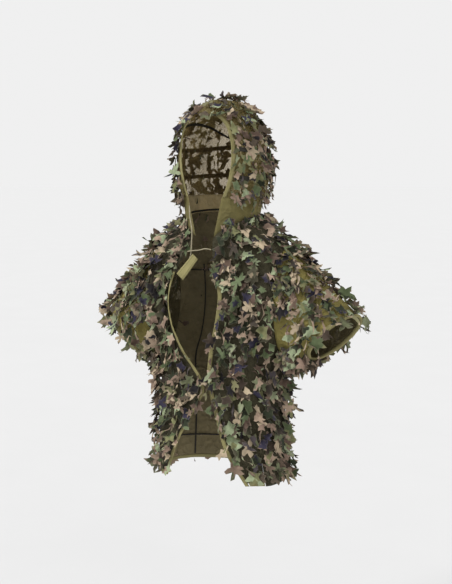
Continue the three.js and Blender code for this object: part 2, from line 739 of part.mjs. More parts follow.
addTorsoSide("left");
addTorsoSide("right");
addFront("left", "snap_socket");
addFront("right", "snap_stud");
addSleeve("left", 1, LEFT_SLEEVE_DROP);
addSleeve("right", -1, RIGHT_SLEEVE_DROP);
addHoodSide("left");
addHoodSide("right");
addCrown();
addCords();

export default jacket;
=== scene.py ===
"""The looks of the hooded leaf jacket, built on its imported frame. Metres, +Z up, front along -Y."""

import json
import math
import random

import bmesh
import bpy
import numpy as np
from mathutils import Matrix, Vector, noise
from mathutils.kdtree import KDTree

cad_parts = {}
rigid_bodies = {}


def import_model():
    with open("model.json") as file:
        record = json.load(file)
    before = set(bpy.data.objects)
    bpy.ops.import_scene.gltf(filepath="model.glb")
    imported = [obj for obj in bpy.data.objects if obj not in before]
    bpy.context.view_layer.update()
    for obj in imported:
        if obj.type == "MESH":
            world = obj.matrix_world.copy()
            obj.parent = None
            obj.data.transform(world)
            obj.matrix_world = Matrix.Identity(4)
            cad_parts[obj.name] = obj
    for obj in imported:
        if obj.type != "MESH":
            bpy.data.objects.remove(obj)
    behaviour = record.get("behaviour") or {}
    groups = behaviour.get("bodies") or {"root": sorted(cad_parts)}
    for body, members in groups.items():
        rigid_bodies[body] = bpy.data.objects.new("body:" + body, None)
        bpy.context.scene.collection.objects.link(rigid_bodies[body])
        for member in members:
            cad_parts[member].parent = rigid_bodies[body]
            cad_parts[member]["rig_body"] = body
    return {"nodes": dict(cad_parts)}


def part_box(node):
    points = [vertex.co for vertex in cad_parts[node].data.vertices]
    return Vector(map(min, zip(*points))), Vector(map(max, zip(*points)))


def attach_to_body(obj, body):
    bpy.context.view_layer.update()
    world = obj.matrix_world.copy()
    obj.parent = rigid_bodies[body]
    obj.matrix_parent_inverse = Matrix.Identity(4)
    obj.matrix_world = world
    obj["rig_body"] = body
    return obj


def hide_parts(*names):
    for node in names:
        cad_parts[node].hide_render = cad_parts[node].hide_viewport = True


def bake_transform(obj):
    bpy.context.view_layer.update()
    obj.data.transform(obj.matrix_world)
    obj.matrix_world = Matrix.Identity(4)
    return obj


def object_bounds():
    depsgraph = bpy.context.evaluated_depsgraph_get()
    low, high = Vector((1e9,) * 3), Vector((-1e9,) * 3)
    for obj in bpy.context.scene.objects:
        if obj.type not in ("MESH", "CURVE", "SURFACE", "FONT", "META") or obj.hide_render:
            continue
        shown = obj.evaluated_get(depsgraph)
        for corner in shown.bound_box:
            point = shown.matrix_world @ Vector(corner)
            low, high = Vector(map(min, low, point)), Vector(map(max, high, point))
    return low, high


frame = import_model()
cad_box = [list(corner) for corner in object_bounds()]
MM = 0.001
SIDES = ("left", "right")


def side_of(name):
    """Which way along X a side is."""
    return 1 if name == "left" else -1


# ---- Camera --------------------------------------------------------------------------------

TARGET = Vector((0.005, 0.0, -0.2145))
AZIMUTH = math.radians(27)
ELEVATION = math.radians(7)
DISTANCE = 3.0
VIEW_HEIGHT = 1.606  # how much of the world the picture is tall, at the target
SENSOR = 36.0


def add_camera():
    data = bpy.data.cameras.new("camera")
    data.sensor_width = SENSOR
    data.lens = SENSOR * DISTANCE / VIEW_HEIGHT
    camera = bpy.data.objects.new("camera", data)
    flat = math.cos(ELEVATION)
    back = Vector((math.sin(AZIMUTH) * flat, -math.cos(AZIMUTH) * flat, math.sin(ELEVATION)))
    camera.location = TARGET + back * DISTANCE
    camera.rotation_mode = "QUATERNION"
    camera.rotation_quaternion = (-back).to_track_quat("-Z", "Y")
    bpy.context.scene.collection.objects.link(camera)
    bpy.context.scene.camera = camera


# ---- Objects and meshes --------------------------------------------------------------------


def link(name, data, material=None):
    piece = bpy.data.objects.new(name, data)
    bpy.context.scene.collection.objects.link(piece)
    if material:
        data.materials.append(material)
    return piece


def mesh_piece(name, bm, material):
    mesh = bpy.data.meshes.new(name)
    bm.to_mesh(mesh)
    bm.free()
    mesh.shade_smooth()
    return link(name, mesh, material)


# ---- Node helpers --------------------------------------------------------------------------


def add_node(tree, kind, inputs=(), **settings):
    """A new node. inputs is {socket name or number: value or another node's output}."""
    made = tree.nodes.new(kind)
    for key, value in settings.items():
        setattr(made, key, value)
    for key, value in dict(inputs).items():
        if isinstance(value, bpy.types.NodeSocket):
            tree.links.new(value, made.inputs[key])
        else:
            made.inputs[key].default_value = value
    return made


def maths(tree, operation, *values):
    given = dict(enumerate(values))
    return add_node(tree, "ShaderNodeMath", given, operation=operation).outputs[0]


def scaled(tree, value, factor, offset=0.0):
    """value times factor, plus offset."""
    return maths(tree, "MULTIPLY_ADD", value, factor, offset)


def blend_colours(tree, share, first, second, kind="MIX"):
    node = add_node(tree, "ShaderNodeMix", data_type="RGBA", blend_type=kind)
    for socket, value in ((0, share), (6, first), (7, second)):
        if isinstance(value, bpy.types.NodeSocket):
            tree.links.new(value, node.inputs[socket])
        else:
            node.inputs[socket].default_value = value
    return node.outputs[2]


def ramp(tree, value, stops, interpolation="LINEAR"):
    node = add_node(tree, "ShaderNodeValToRGB", {"Fac": value})
    node.color_ramp.interpolation = interpolation
    elements = node.color_ramp.elements
    while len(elements) < len(stops):
        elements.new(0.5)
    for element, (place, colour) in zip(elements, stops):
        element.position = place
        element.color = colour
    return node.outputs["Color"]


def rgb(red, green, blue):
    """A colour given as 0 to 255 display values."""
    linear = []
    for value in (red, green, blue):
        share = value / 255
        linear.append(share / 12.92 if share <= 0.04045 else ((share + 0.055) / 1.055) ** 2.4)
    return (*linear, 1.0)


def grey(value):
    return (value, value, value, 1.0)


def noise_of(tree, vector, scale, detail=3.0, roughness=0.5):
    given = {"Vector": vector, "Scale": scale, "Detail": detail, "Roughness": roughness}
    return add_node(tree, "ShaderNodeTexNoise", given).outputs["Fac"]


def new_group(name, inputs, outputs):
    """An empty shader group and its input and output nodes."""
    group = bpy.data.node_groups.new(name, "ShaderNodeTree")
    for socket, kind, value in inputs:
        made = group.interface.new_socket(socket, in_out="INPUT", socket_type=kind)
        if value is not None:
            made.default_value = value
    for socket, kind in outputs:
        group.interface.new_socket(socket, in_out="OUTPUT", socket_type=kind)
    entry = group.nodes.new("NodeGroupInput").outputs
    leave = group.nodes.new("NodeGroupOutput").inputs
    return group, entry, leave


def use_group(tree, group, **inputs):
    node = add_node(tree, "ShaderNodeGroup", node_tree=group)
    for key, value in inputs.items():
        socket = node.inputs[key.replace("_", " ")]
        if isinstance(value, bpy.types.NodeSocket):
            tree.links.new(value, socket)
        else:
            socket.default_value = value
    return node.outputs


def weave_group():
    """Crossing threads from a UV map in metres: how high the cloth stands and where its holes are."""
    group, entry, leave = new_group(
        "weave",
        [
            ("Vector", "NodeSocketVector", None),
            ("Pitch", "NodeSocketFloat", 0.002),
            ("Open", "NodeSocketFloat", 0.0),
        ],
        [("Height", "NodeSocketFloat"), ("Hole", "NodeSocketFloat")],
    )
    parts = add_node(group, "ShaderNodeSeparateXYZ", {0: entry["Vector"]}).outputs
    waves = []
    for axis in range(2):
        turns = maths(group, "DIVIDE", parts[axis], entry["Pitch"])
        waves.append(maths(group, "SINE", maths(group, "MULTIPLY", turns, math.tau)))
    product = maths(group, "MULTIPLY", waves[0], waves[1])
    squares = maths(group, "MAXIMUM", waves[0], waves[1])
    group.links.new(scaled(group, product, 0.5, 0.5), leave["Height"])
    group.links.new(maths(group, "LESS_THAN", squares, entry["Open"]), leave["Hole"])
    return group


BROAD_SHARE, FINE_SHARE = 0.6, 0.4
FINE_TIMES, GRAIN_TIMES = 6.0, 45.0  # how much finer these are than the broad mottling


def mottle_group():
    """Two sizes of soft mottling and a fine grain, for fabric that isn't evenly dyed."""
    group, entry, leave = new_group(
        "mottle",
        [("Vector", "NodeSocketVector", None), ("Scale", "NodeSocketFloat", 20.0)],
        [("Value", "NodeSocketFloat"), ("Grain", "NodeSocketFloat")],
    )
    broad = noise_of(group, entry["Vector"], entry["Scale"], 2.0)
    fine_scale = maths(group, "MULTIPLY", entry["Scale"], FINE_TIMES)
    fine = noise_of(group, entry["Vector"], fine_scale, 3.0)
    both = scaled(group, fine, FINE_SHARE, maths(group, "MULTIPLY", broad, BROAD_SHARE))
    grain_scale = maths(group, "MULTIPLY", entry["Scale"], GRAIN_TIMES)
    group.links.new(both, leave["Value"])
    group.links.new(noise_of(group, entry["Vector"], grain_scale, 2.0), leave["Grain"])
    return group


def new_material(name):
    material = bpy.data.materials.new(name)
    material.use_nodes = True
    tree = material.node_tree
    return material, tree, tree.nodes["Principled BSDF"]


def object_coordinates(tree):
    return add_node(tree, "ShaderNodeTexCoord").outputs["Object"]


def uv_coordinates(tree, name):
    return add_node(tree, "ShaderNodeUVMap", uv_map=name).outputs["UV"]


def uv_parts(tree, name):
    return add_node(tree, "ShaderNodeSeparateXYZ", {0: uv_coordinates(tree, name)}).outputs


def attribute(tree, name):
    return add_node(tree, "ShaderNodeAttribute", attribute_name=name).outputs["Fac"]


def bump(tree, shader, height, distance, strength=0.6):
    given = {"Height": height, "Distance": distance, "Strength": strength}
    node = add_node(tree, "ShaderNodeBump", given)
    tree.links.new(node.outputs["Normal"], shader.inputs["Normal"])


def drive(tree, socket, output):
    tree.links.new(output, socket)


def roughen(tree, shader, grain, spread, base):
    """Roughness from base upwards, by the grain."""
    drive(tree, shader.inputs["Roughness"], scaled(tree, grain, spread, base))


def ripples(tree, value, pitch):
    """A wave that repeats every pitch along a value."""
    return maths(tree, "SINE", maths(tree, "MULTIPLY", value, math.tau / pitch))


# ---- Materials -----------------------------------------------------------------------------

WEAVE = weave_group()
MOTTLE = mottle_group()

LEAF_PRINT = [
    rgb(164, 148, 124),
    rgb(60, 50, 42),
    rgb(92, 103, 74),
    rgb(126, 106, 92),
    rgb(46, 43, 58),
    rgb(110, 110, 76),
    rgb(42, 47, 33),
    rgb(150, 130, 112),
    rgb(30, 27, 29),
    rgb(142, 152, 120),
    rgb(84, 68, 58),
    rgb(78, 88, 60),
]
FRAYED_EDGE = rgb(160, 148, 126)
LEAF_UNDERSIDE = rgb(118, 106, 88)
FRAY_SHARE, UNDERSIDE_SHARE = 0.22, 0.25
BLOTCH_SCALE = 38.0
BLOTCH_EDGE = (0.5, 0.54)  # the noise values between which one print colour gives way to the next


def leaf_material():
    """Cut camouflage cloth: each leaf has its own tint, with blotches of a second one."""
    material, tree, shader = new_material("leaf_cloth")
    place = object_coordinates(tree)
    tint = attribute(tree, "tint")
    stops = [(i / len(LEAF_PRINT), colour) for i, colour in enumerate(LEAF_PRINT)]
    first = ramp(tree, tint, stops, "CONSTANT")
    other = maths(tree, "FRACT", scaled(tree, tint, 5.3, 0.31))
    second = ramp(tree, other, stops, "CONSTANT")
    blotch = noise_of(tree, place, BLOTCH_SCALE, 2.0, 0.45)
    print_share = ramp(tree, blotch, list(zip(BLOTCH_EDGE, (grey(0), grey(1)))))
    colour = blend_colours(tree, print_share, first, second)
    mottle = use_group(tree, MOTTLE, Vector=place, Scale=22.0)
    shade = scaled(tree, mottle["Value"], 1.5, 0.32)
    shaded = blend_colours(tree, 1.0, colour, shade, "MULTIPLY")
    frayed = maths(tree, "POWER", attribute(tree, "rim"), 6.0)
    fray_share = maths(tree, "MULTIPLY", frayed, FRAY_SHARE)
    edged = blend_colours(tree, fray_share, shaded, FRAYED_EDGE)
    under = add_node(tree, "ShaderNodeNewGeometry").outputs["Backfacing"]
    under_share = maths(tree, "MULTIPLY", under, UNDERSIDE_SHARE)
    drive(tree, shader.inputs["Base Color"], blend_colours(tree, under_share, edged, LEAF_UNDERSIDE))
    roughen(tree, shader, mottle["Grain"], 0.2, 0.75)
    shader.inputs["Specular IOR Level"].default_value = 0.25
    bump(tree, shader, mottle["Grain"], 0.0006)
    return material


LIGHT_THROUGH = (1.0, 0.94, 0.83, 1.0)  # what a layer of open cloth leaves of white light
CREASE_SCALE = 30.0


def cloth_material(name, outer, inner, pitch, hole, gap, through):
    """Base cloth with an outer and an inner colour.

    hole is how wide the openings between threads are, from -1 for none to 1 for all, and gap is how
    much of what is behind shows in one. through is how much light the threads pass.
    """
    material, tree, shader = new_material(name)
    place = object_coordinates(tree)
    weave = use_group(tree, WEAVE, Vector=uv_coordinates(tree, "cloth"), Pitch=pitch, Open=hole)
    mottle = use_group(tree, MOTTLE, Vector=place, Scale=16.0)
    colour = blend_colours(tree, attribute(tree, "inside"), outer, inner)
    shade = scaled(tree, mottle["Value"], 0.9, 0.5)
    base = blend_colours(tree, 1.0, colour, shade, "MULTIPLY")
    # Darker where the weave is low: painted shade in the hollows between the threads.
    thread_relief_and_shade = scaled(tree, weave["Height"], 0.35, 0.8)
    drive(tree, shader.inputs["Base Color"], blend_colours(tree, 1.0, base, thread_relief_and_shade, "MULTIPLY"))
    roughen(tree, shader, mottle["Grain"], 0.2, 0.72)
    shader.inputs["Specular IOR Level"].default_value = 0.3
    from_middle = maths(tree, "SUBTRACT", noise_of(tree, place, CREASE_SCALE, 2.0), 0.5)
    ridge = maths(tree, "MULTIPLY", maths(tree, "ABSOLUTE", from_middle), 4.0)
    creases = maths(tree, "POWER", maths(tree, "SUBTRACT", 1.0, ridge), 2.0)
    bump(tree, shader, scaled(tree, weave["Height"], 0.06, creases), 0.004, 0.8)
    lit = add_node(tree, "ShaderNodeBsdfTranslucent", {"Color": base})
    given = {0: through, 1: shader.outputs[0], 2: lit.outputs[0]}
    mix = add_node(tree, "ShaderNodeMixShader", given)
    if gap:
        clear = add_node(tree, "ShaderNodeBsdfTransparent", {"Color": LIGHT_THROUGH})
        share = maths(tree, "MULTIPLY", weave["Hole"], gap)
        given = {0: share, 1: mix.outputs[0], 2: clear.outputs[0]}
        mix = add_node(tree, "ShaderNodeMixShader", given)
    tree.links.new(mix.outputs[0], tree.nodes["Material Output"].inputs["Surface"])
    return material


TAPE_RIB = 0.0011
TAPE_SHADOW = 0.55  # how dark the tape is in its hollows
STITCH_PITCH, STITCH_SHARE = 0.0032, 0.68
STITCH_ROW, STITCH_HALF_WIDTH = 0.3, 0.035  # from the tape's middle, as shares of its width


def tape_material(name, colour, thread_colour):
    """Folded binding tape: fine cross ribs and a row of stitches near each long edge."""
    material, tree, shader = new_material(name)
    place = object_coordinates(tree)
    along, across = uv_parts(tree, "tape")[:2]
    ribs = ripples(tree, along, TAPE_RIB)
    mottle = use_group(tree, MOTTLE, Vector=place, Scale=38.0)
    hollow = tuple(c * TAPE_SHADOW for c in colour[:3]) + (1.0,)
    base = blend_colours(tree, mottle["Value"], hollow, colour)
    near = maths(tree, "ABSOLUTE", maths(tree, "SUBTRACT", across, 0.5))
    from_row = maths(tree, "ABSOLUTE", maths(tree, "SUBTRACT", near, STITCH_ROW))
    on_row = maths(tree, "LESS_THAN", from_row, STITCH_HALF_WIDTH)
    phase = maths(tree, "FRACT", maths(tree, "DIVIDE", along, STITCH_PITCH))
    stitch = maths(tree, "MULTIPLY", on_row, maths(tree, "LESS_THAN", phase, STITCH_SHARE))
    sewn = blend_colours(tree, maths(tree, "MULTIPLY", stitch, 0.7), base, thread_colour)
    drive(tree, shader.inputs["Base Color"], sewn)
    roughen(tree, shader, mottle["Grain"], 0.2, 0.68)
    shader.inputs["Specular IOR Level"].default_value = 0.3
    bump(tree, shader, maths(tree, "ADD", scaled(tree, ribs, 0.2, stitch), mottle["Value"]), 0.0006)
    return material


ELASTIC_RIBS, ELASTIC_THREAD = 6, 0.0016


def elastic_material():
    """Dark ribbed elastic with cross threads, lighter where ribs and threads stand high: painted shade
    in the hollows, over a random mottle.
    """
    material, tree, shader = new_material("elastic")
    along, across = uv_parts(tree, "tape")[:2]
    ribs = ripples(tree, across, 1 / ELASTIC_RIBS)
    thread_relief_and_shade = ripples(tree, along, ELASTIC_THREAD)
    height = scaled(tree, thread_relief_and_shade, 0.3, ribs)
    mottle = use_group(tree, MOTTLE, Vector=object_coordinates(tree), Scale=60.0)
    # The colour follows the relief of the ribs and threads: painted shade, darker in the hollows.
    share = maths(tree, "MULTIPLY", mottle["Value"], scaled(tree, height, 0.3, 0.5))
    colour = blend_colours(tree, share, rgb(26, 23, 18), rgb(66, 60, 44))
    drive(tree, shader.inputs["Base Color"], colour)
    roughen(tree, shader, mottle["Grain"], 0.25, 0.6)
    bump(tree, shader, height, 0.0005)
    return material


BRAID_PITCH = 0.0017


def cord_material():
    """Braided cord: two sets of slanting threads that cross."""
    material, tree, shader = new_material("cord")
    place = object_coordinates(tree)
    parts = add_node(tree, "ShaderNodeSeparateXYZ", {0: place}).outputs
    waves = [ripples(tree, scaled(tree, parts[0], sign, parts[2]), BRAID_PITCH) for sign in (1.0, -1.0)]
    braid = maths(tree, "MULTIPLY", waves[0], waves[1])
    mottle = use_group(tree, MOTTLE, Vector=place, Scale=70.0)
    # Paler where the braid stands high and darker in its hollows: painted shade, over a random mottle.
    share = scaled(tree, braid, 0.25, mottle["Value"])
    colour = blend_colours(tree, share, rgb(92, 84, 62), rgb(190, 180, 150))
    drive(tree, shader.inputs["Base Color"], colour)
    roughen(tree, shader, mottle["Grain"], 0.2, 0.65)
    bump(tree, shader, braid, 0.0004)
    return material


RUBBED_FROM, RUBBED_FULLY = 0.45, 0.65


def metal_material():
    """Dark blackened snap metal, rubbed brighter in patches."""
    material, tree, shader = new_material("snap_metal")
    mottle = use_group(tree, MOTTLE, Vector=object_coordinates(tree), Scale=180.0)
    rubbed = ramp(tree, mottle["Value"], [(RUBBED_FROM, grey(0)), (RUBBED_FULLY, grey(1))])
    colour = blend_colours(tree, rubbed, rgb(40, 38, 34), rgb(96, 90, 78))
    drive(tree, shader.inputs["Base Color"], colour)
    roughen(tree, shader, mottle["Value"], 0.4, 0.2)
    shader.inputs["Metallic"].default_value = 0.9
    bump(tree, shader, mottle["Grain"], 0.0002)
    return material


# ---- Surfaces read from the frame ----------------------------------------------------------

TORSO_MIDDLE_TOP = -0.25
HOOD_MIDDLE = Vector((0.0, 0.0, 0.13))
SLEEVE_ROOT = Vector((0.2, 0.0, -0.215))
SLEEVE_DROP = {"left": math.radians(36), "right": math.radians(52)}


def middle_near(node, place):
    """A point inside the garment that the surface of this node faces away from."""
    body = frame["nodes"][node]["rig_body"]
    if body == "hood":
        return HOOD_MIDDLE
    if node.startswith(("armhole", "sleeve")):
        name = node.rsplit("_", 1)[1]
        side = side_of(name)
        root = Vector((SLEEVE_ROOT.x * side, 0.0, SLEEVE_ROOT.z))
        drop = SLEEVE_DROP[name]
        axis = Vector((side * math.cos(drop), 0.0, -math.sin(drop)))
        return root + axis * (Vector(place) - root).dot(axis)
    return Vector((0.0, 0.0, min(place[2], TORSO_MIDDLE_TOP)))


def slab_sides(node):
    """The two large faces of a CAD sheet, outer first, with each outer vertex's inner partner."""
    bm = bmesh.new()
    bm.from_mesh(frame["nodes"][node].data)
    bmesh.ops.remove_doubles(bm, verts=bm.verts, dist=0.05 * MM)
    bm.verts.index_update()
    bm.verts.ensure_lookup_table()
    tree = KDTree(len(bm.verts))
    for vertex in bm.verts:
        tree.insert(vertex.co, vertex.index)
    tree.balance()
    partner = [tree.find_n(vertex.co, 2)[1][1] for vertex in bm.verts]
    rim = [f for f in bm.faces if any(partner[v.index] in {w.index for w in f.verts} for v in f.verts)]
    inner_place = {tuple(v.co): bm.verts[partner[v.index]].co.copy() for v in bm.verts}
    bmesh.ops.delete(bm, geom=rim, context="FACES")
    seed = next(iter(bm.faces))
    found, todo = {seed}, [seed]
    while todo:
        for edge in todo.pop().edges:
            for face in edge.link_faces:
                if face not in found:
                    found.add(face)
                    todo.append(face)
    facing = sum(
        f.calc_area() * f.normal.dot(f.calc_center_median() - middle_near(node, f.calc_center_median()))
        for f in found
    )
    drop = found if facing < 0 else set(bm.faces) - found
    bmesh.ops.delete(bm, geom=list(drop), context="FACES")
    return bm, inner_place


def drop_diagonals(bm):
    """Turns a grid of triangle pairs into quads: opposite sides of two joined triangles match."""
    corner = next(v for v in bm.verts if len(v.link_faces) == 1)
    first = corner.link_faces[0]
    diagonal = {edge: corner not in edge.verts for edge in first.edges}
    seen, todo = {first}, [first]
    while todo:
        for loop in todo.pop().loops:
            other = loop.link_loop_radial_next
            if other.face not in seen:
                seen.add(other.face)
                todo.append(other.face)
                diagonal[other.link_loop_next.edge] = diagonal[loop.link_loop_next.edge]
                diagonal[other.link_loop_prev.edge] = diagonal[loop.link_loop_prev.edge]
    bmesh.ops.dissolve_edges(bm, edges=[edge for edge, drop in diagonal.items() if drop])


def grid_of(node):
    """The middle of a CAD sheet as a regular grid of points [i, j], with j running upwards."""
    bm, inner_place = slab_sides(node)
    drop_diagonals(bm)
    corner = next(v for v in bm.verts if len(v.link_faces) == 1 and len(v.link_faces[0].verts) == 4)
    first = corner.link_faces[0]
    loop = next(l for l in first.loops if l.vert == corner)
    ring = [loop.vert, loop.link_loop_next.vert, loop.link_loop_next.link_loop_next.vert,
            loop.link_loop_prev.vert]
    place = dict(zip(ring, [(0, 0), (1, 0), (1, 1), (0, 1)]))
    seen, todo = {first}, [first]
    while todo:
        face = todo.pop()
        for loop in face.loops:
            other = loop.link_loop_radial_next.face
            if other in seen or len(other.verts) != 4:
                continue
            seen.add(other)
            todo.append(other)
            a, b = loop.vert, loop.link_loop_next.vert
            before = loop.link_loop_prev.vert
            step = (place[a][0] - place[before][0], place[a][1] - place[before][1])
            across = loop.link_loop_radial_next
            beyond_b = across.link_loop_prev.vert
            beyond_a = across.link_loop_next.link_loop_next.vert
            for near, far in ((a, beyond_a), (b, beyond_b)):
                place.setdefault(far, (place[near][0] + step[0], place[near][1] + step[1]))
    low = [min(p[k] for p in place.values()) for k in (0, 1)]
    size = [max(p[k] for p in place.values()) - low[k] + 1 for k in (0, 1)]
    grid = np.full((size[0], size[1], 3), np.nan)
    for vertex, (i, j) in place.items():
        grid[i - low[0], j - low[1]] = (vertex.co + inner_place[tuple(vertex.co)]) / 2
    bm.free()
    if np.isnan(grid).any():
        raise ValueError(f"{node} isn't a regular grid")
    rises = [abs(np.diff(grid[:, :, 2], axis=axis)).sum() for axis in (0, 1)]
    if rises[0] / grid.shape[1] > rises[1] / grid.shape[0]:
        grid = grid.transpose(1, 0, 2)
    if grid[:, 0, 2].mean() > grid[:, -1, 2].mean():
        grid = grid[:, ::-1]
    return grid


def spline_shares(count, places):
    """Rows that turn values at whole numbers into a smooth curve's values at places."""
    if count < 3:
        return np.stack([1 - places, places], axis=1)
    system = np.eye(count)
    right = np.zeros((count, count))
    for i in range(1, count - 1):
        system[i, i - 1 : i + 2] = (1, 4, 1)
        right[i, i - 1 : i + 2] = (6, -12, 6)
    bends = np.linalg.solve(system, right)
    base = np.clip(np.floor(places).astype(int), 0, count - 2)
    t = (places - base)[:, None]
    unit = np.eye(count)
    line = unit[base] * (1 - t) + unit[base + 1] * t
    curve = bends[base] * ((1 - t) ** 3 - (1 - t)) / 6 + bends[base + 1] * (t**3 - t) / 6
    return line + curve


class Surface:
    """A smooth sheet through a CAD node's grid. u and v are shares from 0 to 1."""

    def __init__(self, grid, inside_of):
        self.grid = grid
        self.width = float(np.linalg.norm(np.diff(grid, axis=0), axis=2).sum(0).mean())
        self.height = float(np.linalg.norm(np.diff(grid, axis=1), axis=2).sum(1).mean())
        self.sign = 1
        points, normals = self.grid_at(np.linspace(0, 1, 9), np.linspace(0, 1, 9))
        outward = points - np.array([[inside_of(p) for p in row] for row in points])
        self.sign = 1 if (outward * normals).sum() > 0 else -1

    def raw(self, us, vs):
        wide = spline_shares(self.grid.shape[0], us * (self.grid.shape[0] - 1))
        tall = spline_shares(self.grid.shape[1], vs * (self.grid.shape[1] - 1))
        return np.einsum("ni,nj,ijk->nk", wide, tall, self.grid, optimize=True)

    def at(self, us, vs):
        """Points and outer normals at each pair of us and vs."""
        tiny = 1e-3
        along = self.raw(np.minimum(us + tiny, 1.1), vs) - self.raw(us - tiny, vs)
        up = self.raw(us, np.minimum(vs + tiny, 1.1)) - self.raw(us, vs - tiny)
        normals = np.cross(along, up)
        normals /= np.maximum(np.linalg.norm(normals, axis=1, keepdims=True), 1e-12)
        return self.raw(us, vs), normals * self.sign

    def grid_at(self, us, vs):
        """Points and outer normals where every u crosses every v."""
        across, up = np.meshgrid(us, vs, indexing="ij")
        points, normals = self.at(across.ravel(), up.ravel())
        return points.reshape(*across.shape, 3), normals.reshape(*across.shape, 3)

    def turned(self):
        """The same sheet with its two directions changed over."""
        other = object.__new__(Surface)
        other.grid = self.grid.transpose(1, 0, 2)
        other.width, other.height, other.sign = self.height, self.width, -self.sign
        return other


SURFACES = {}


def surface(node):
    if node not in SURFACES:
        SURFACES[node] = Surface(grid_of(node), lambda place: middle_near(node, place))
    return SURFACES[node]


# ---- Base cloth ----------------------------------------------------------------------------

CLOTH_STEP = 0.008
TAPES = [node for node in frame["nodes"] if "_binding_" in node]
CLOTH_THICKNESS = 0.0006
SEAM_FOLD = 1.2 * MM
LAP = 1.6 * MM  # how far a cloth runs on past its CAD edge, into the seam
UNDER_TAPE = 4.5 * MM
TAPE_REACH = 0.02
FOLDS_FROM_EDGE = 30 * MM  # how far in from a seam the folds have their full depth
STRIP_STEP = 0.0035
STRIP_ROWS = 4


# How often folds come, per metre in x, y and z: fewer along the hang of the cloth.
DRAPE_RATE = (16, 16, 7)
CREASE_RATE = (46, 46, 20)
CREASE_START = 5  # keeps the creases from following the drape
DRAPE_SHARE, CREASE_SHARE = 0.7, 0.3


def folds(place, amount):
    """How far the cloth stands off its surface here: soft drape, then narrower creases."""
    drape = noise.noise(Vector([p * rate for p, rate in zip(place, DRAPE_RATE)]))
    finer = [p * rate for p, rate in zip(place, CREASE_RATE)]
    crease = noise.noise(Vector((finer[0] + CREASE_START, finer[1], finer[2])))
    return amount * (DRAPE_SHARE * drape + CREASE_SHARE * (1 - 2 * abs(crease)))


def sheet_mesh(found, step, push, uv_name, laps=(0, 0, 0, 0), rows=None):
    """A grid over the surface, pushed out by push(place, u, v), with a UV map.

    laps are the runs past the edges u = 0, u = 1, v = 0 and v = 1. With rows, the map's V is the
    share across a tape of so many rows. Without them it is in metres like its U.
    """
    across = max(3, math.ceil(found.width / step))
    up = rows or max(3, math.ceil(found.height / step))
    us = np.linspace(-laps[0] / found.width, 1 + laps[1] / found.width, across + 1)
    vs = np.linspace(-laps[2] / found.height, 1 + laps[3] / found.height, up + 1)
    points, normals = found.grid_at(us, vs)
    bm = bmesh.new()
    layer = bm.loops.layers.uv.new(uv_name)
    bmesh.ops.create_grid(bm, x_segments=across, y_segments=up, size=0.5)
    index = {v: (round((v.co.x + 0.5) * across), round((v.co.y + 0.5) * up)) for v in bm.verts}
    tall = 1.0 if rows else found.height
    for face in bm.faces:
        for loop in face.loops:
            i, j = index[loop.vert]
            loop[layer].uv = (us[i] * found.width, vs[j] * tall)
    for vertex, (i, j) in index.items():
        off = push(points[i, j], us[i], vs[j])
        vertex.co = Vector(points[i, j] + normals[i, j] * off)
    bm.normal_update()
    facing = sum(f.normal.dot(Vector(normals[index[f.verts[0]]])) for f in bm.faces)
    if facing < 0:
        bmesh.ops.reverse_faces(bm, faces=bm.faces)
    return bm


def tape_places():
    places = [tuple(v.co) for node in TAPES for v in frame["nodes"][node].data.vertices]
    tree = KDTree(len(places))
    for number, place in enumerate(places):
        tree.insert(place, number)
    tree.balance()
    return tree


def line(bm, thickness):
    """Gives a sheet an inner side, marked for its material by the attribute inside."""
    inside = bm.verts.layers.float.new("inside")
    outer = set(bm.verts)
    bmesh.ops.solidify(bm, geom=list(bm.faces), thickness=thickness)
    for vertex in bm.verts:
        vertex[inside] = 0.0 if vertex in outer else 1.0


NEAR_TAPE = tape_places()


def laps_of(found, tapes):
    """How far a cloth runs on past each of its edges: under the tape where one covers it."""
    middles, _ = found.at(np.array([0, 1, 0.5, 0.5]), np.array([0.5, 0.5, 0, 1]))
    return [UNDER_TAPE if tapes.find(m)[2] < TAPE_REACH else LAP for m in middles]


def add_cloth(node, material, amount=2.0 * MM):
    found = surface(node)
    laps = laps_of(found, NEAR_TAPE)

    def push(place, u, v):
        edge = min(min(u, 1 - u) * found.width, min(v, 1 - v) * found.height)
        share = min(max(edge / FOLDS_FROM_EDGE, 0.0), 1.0)
        return folds(place, SEAM_FOLD + (amount - SEAM_FOLD) * share)

    bm = sheet_mesh(found, CLOTH_STEP, push, "cloth", laps)
    line(bm, CLOTH_THICKNESS)
    piece = mesh_piece(f"cloth_{node}", bm, material)
    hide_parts(node)
    return piece


def flat_size(found):
    """The sheet's cut size: the widest run each way, and its area laid flat."""
    points, _ = found.grid_at(np.linspace(0, 1, 25), np.linspace(0, 1, 25))
    wide = np.linalg.norm(np.diff(points, axis=0), axis=2).sum(0).max()
    tall = np.linalg.norm(np.diff(points, axis=1), axis=2).sum(1).max()
    sides = np.diff(points, axis=0)[:, :-1], np.diff(points, axis=1)[:-1]
    area = np.linalg.norm(np.cross(*sides), axis=2).sum()
    return (float(wide), float(tall)), float(min(area, wide * tall))


# ---- Tapes and elastics --------------------------------------------------------------------


def add_strip(name, found, material, thickness, ripple, lift=0.0):
    """A narrow strip along a surface, rippled along its length where it is gathered."""
    if found.width < found.height:
        found = found.turned()

    def push(place, u, v):
        wave = noise.noise(Vector((u * found.width * 110, v * 1.6, place[2] * 3)))
        crumple = noise.noise(Vector(place) * 60)
        return lift + thickness / 2 + ripple * (0.6 * wave + 0.4 * crumple)

    bm = sheet_mesh(found, STRIP_STEP, push, "tape", rows=STRIP_ROWS)
    bmesh.ops.solidify(bm, geom=list(bm.faces), thickness=thickness)
    piece = mesh_piece(name, bm, material)
    return piece


def strip_of(found, v, width):
    """The strip of a surface round v, as a surface of its own."""
    half = width / 2 / found.height
    points, _ = found.grid_at(np.linspace(0, 1, 14), np.array([v - half, v + half]))
    made = object.__new__(Surface)
    made.grid, made.sign = points, found.sign
    made.width, made.height = found.width, width
    return made


# ---- Leaves --------------------------------------------------------------------------------

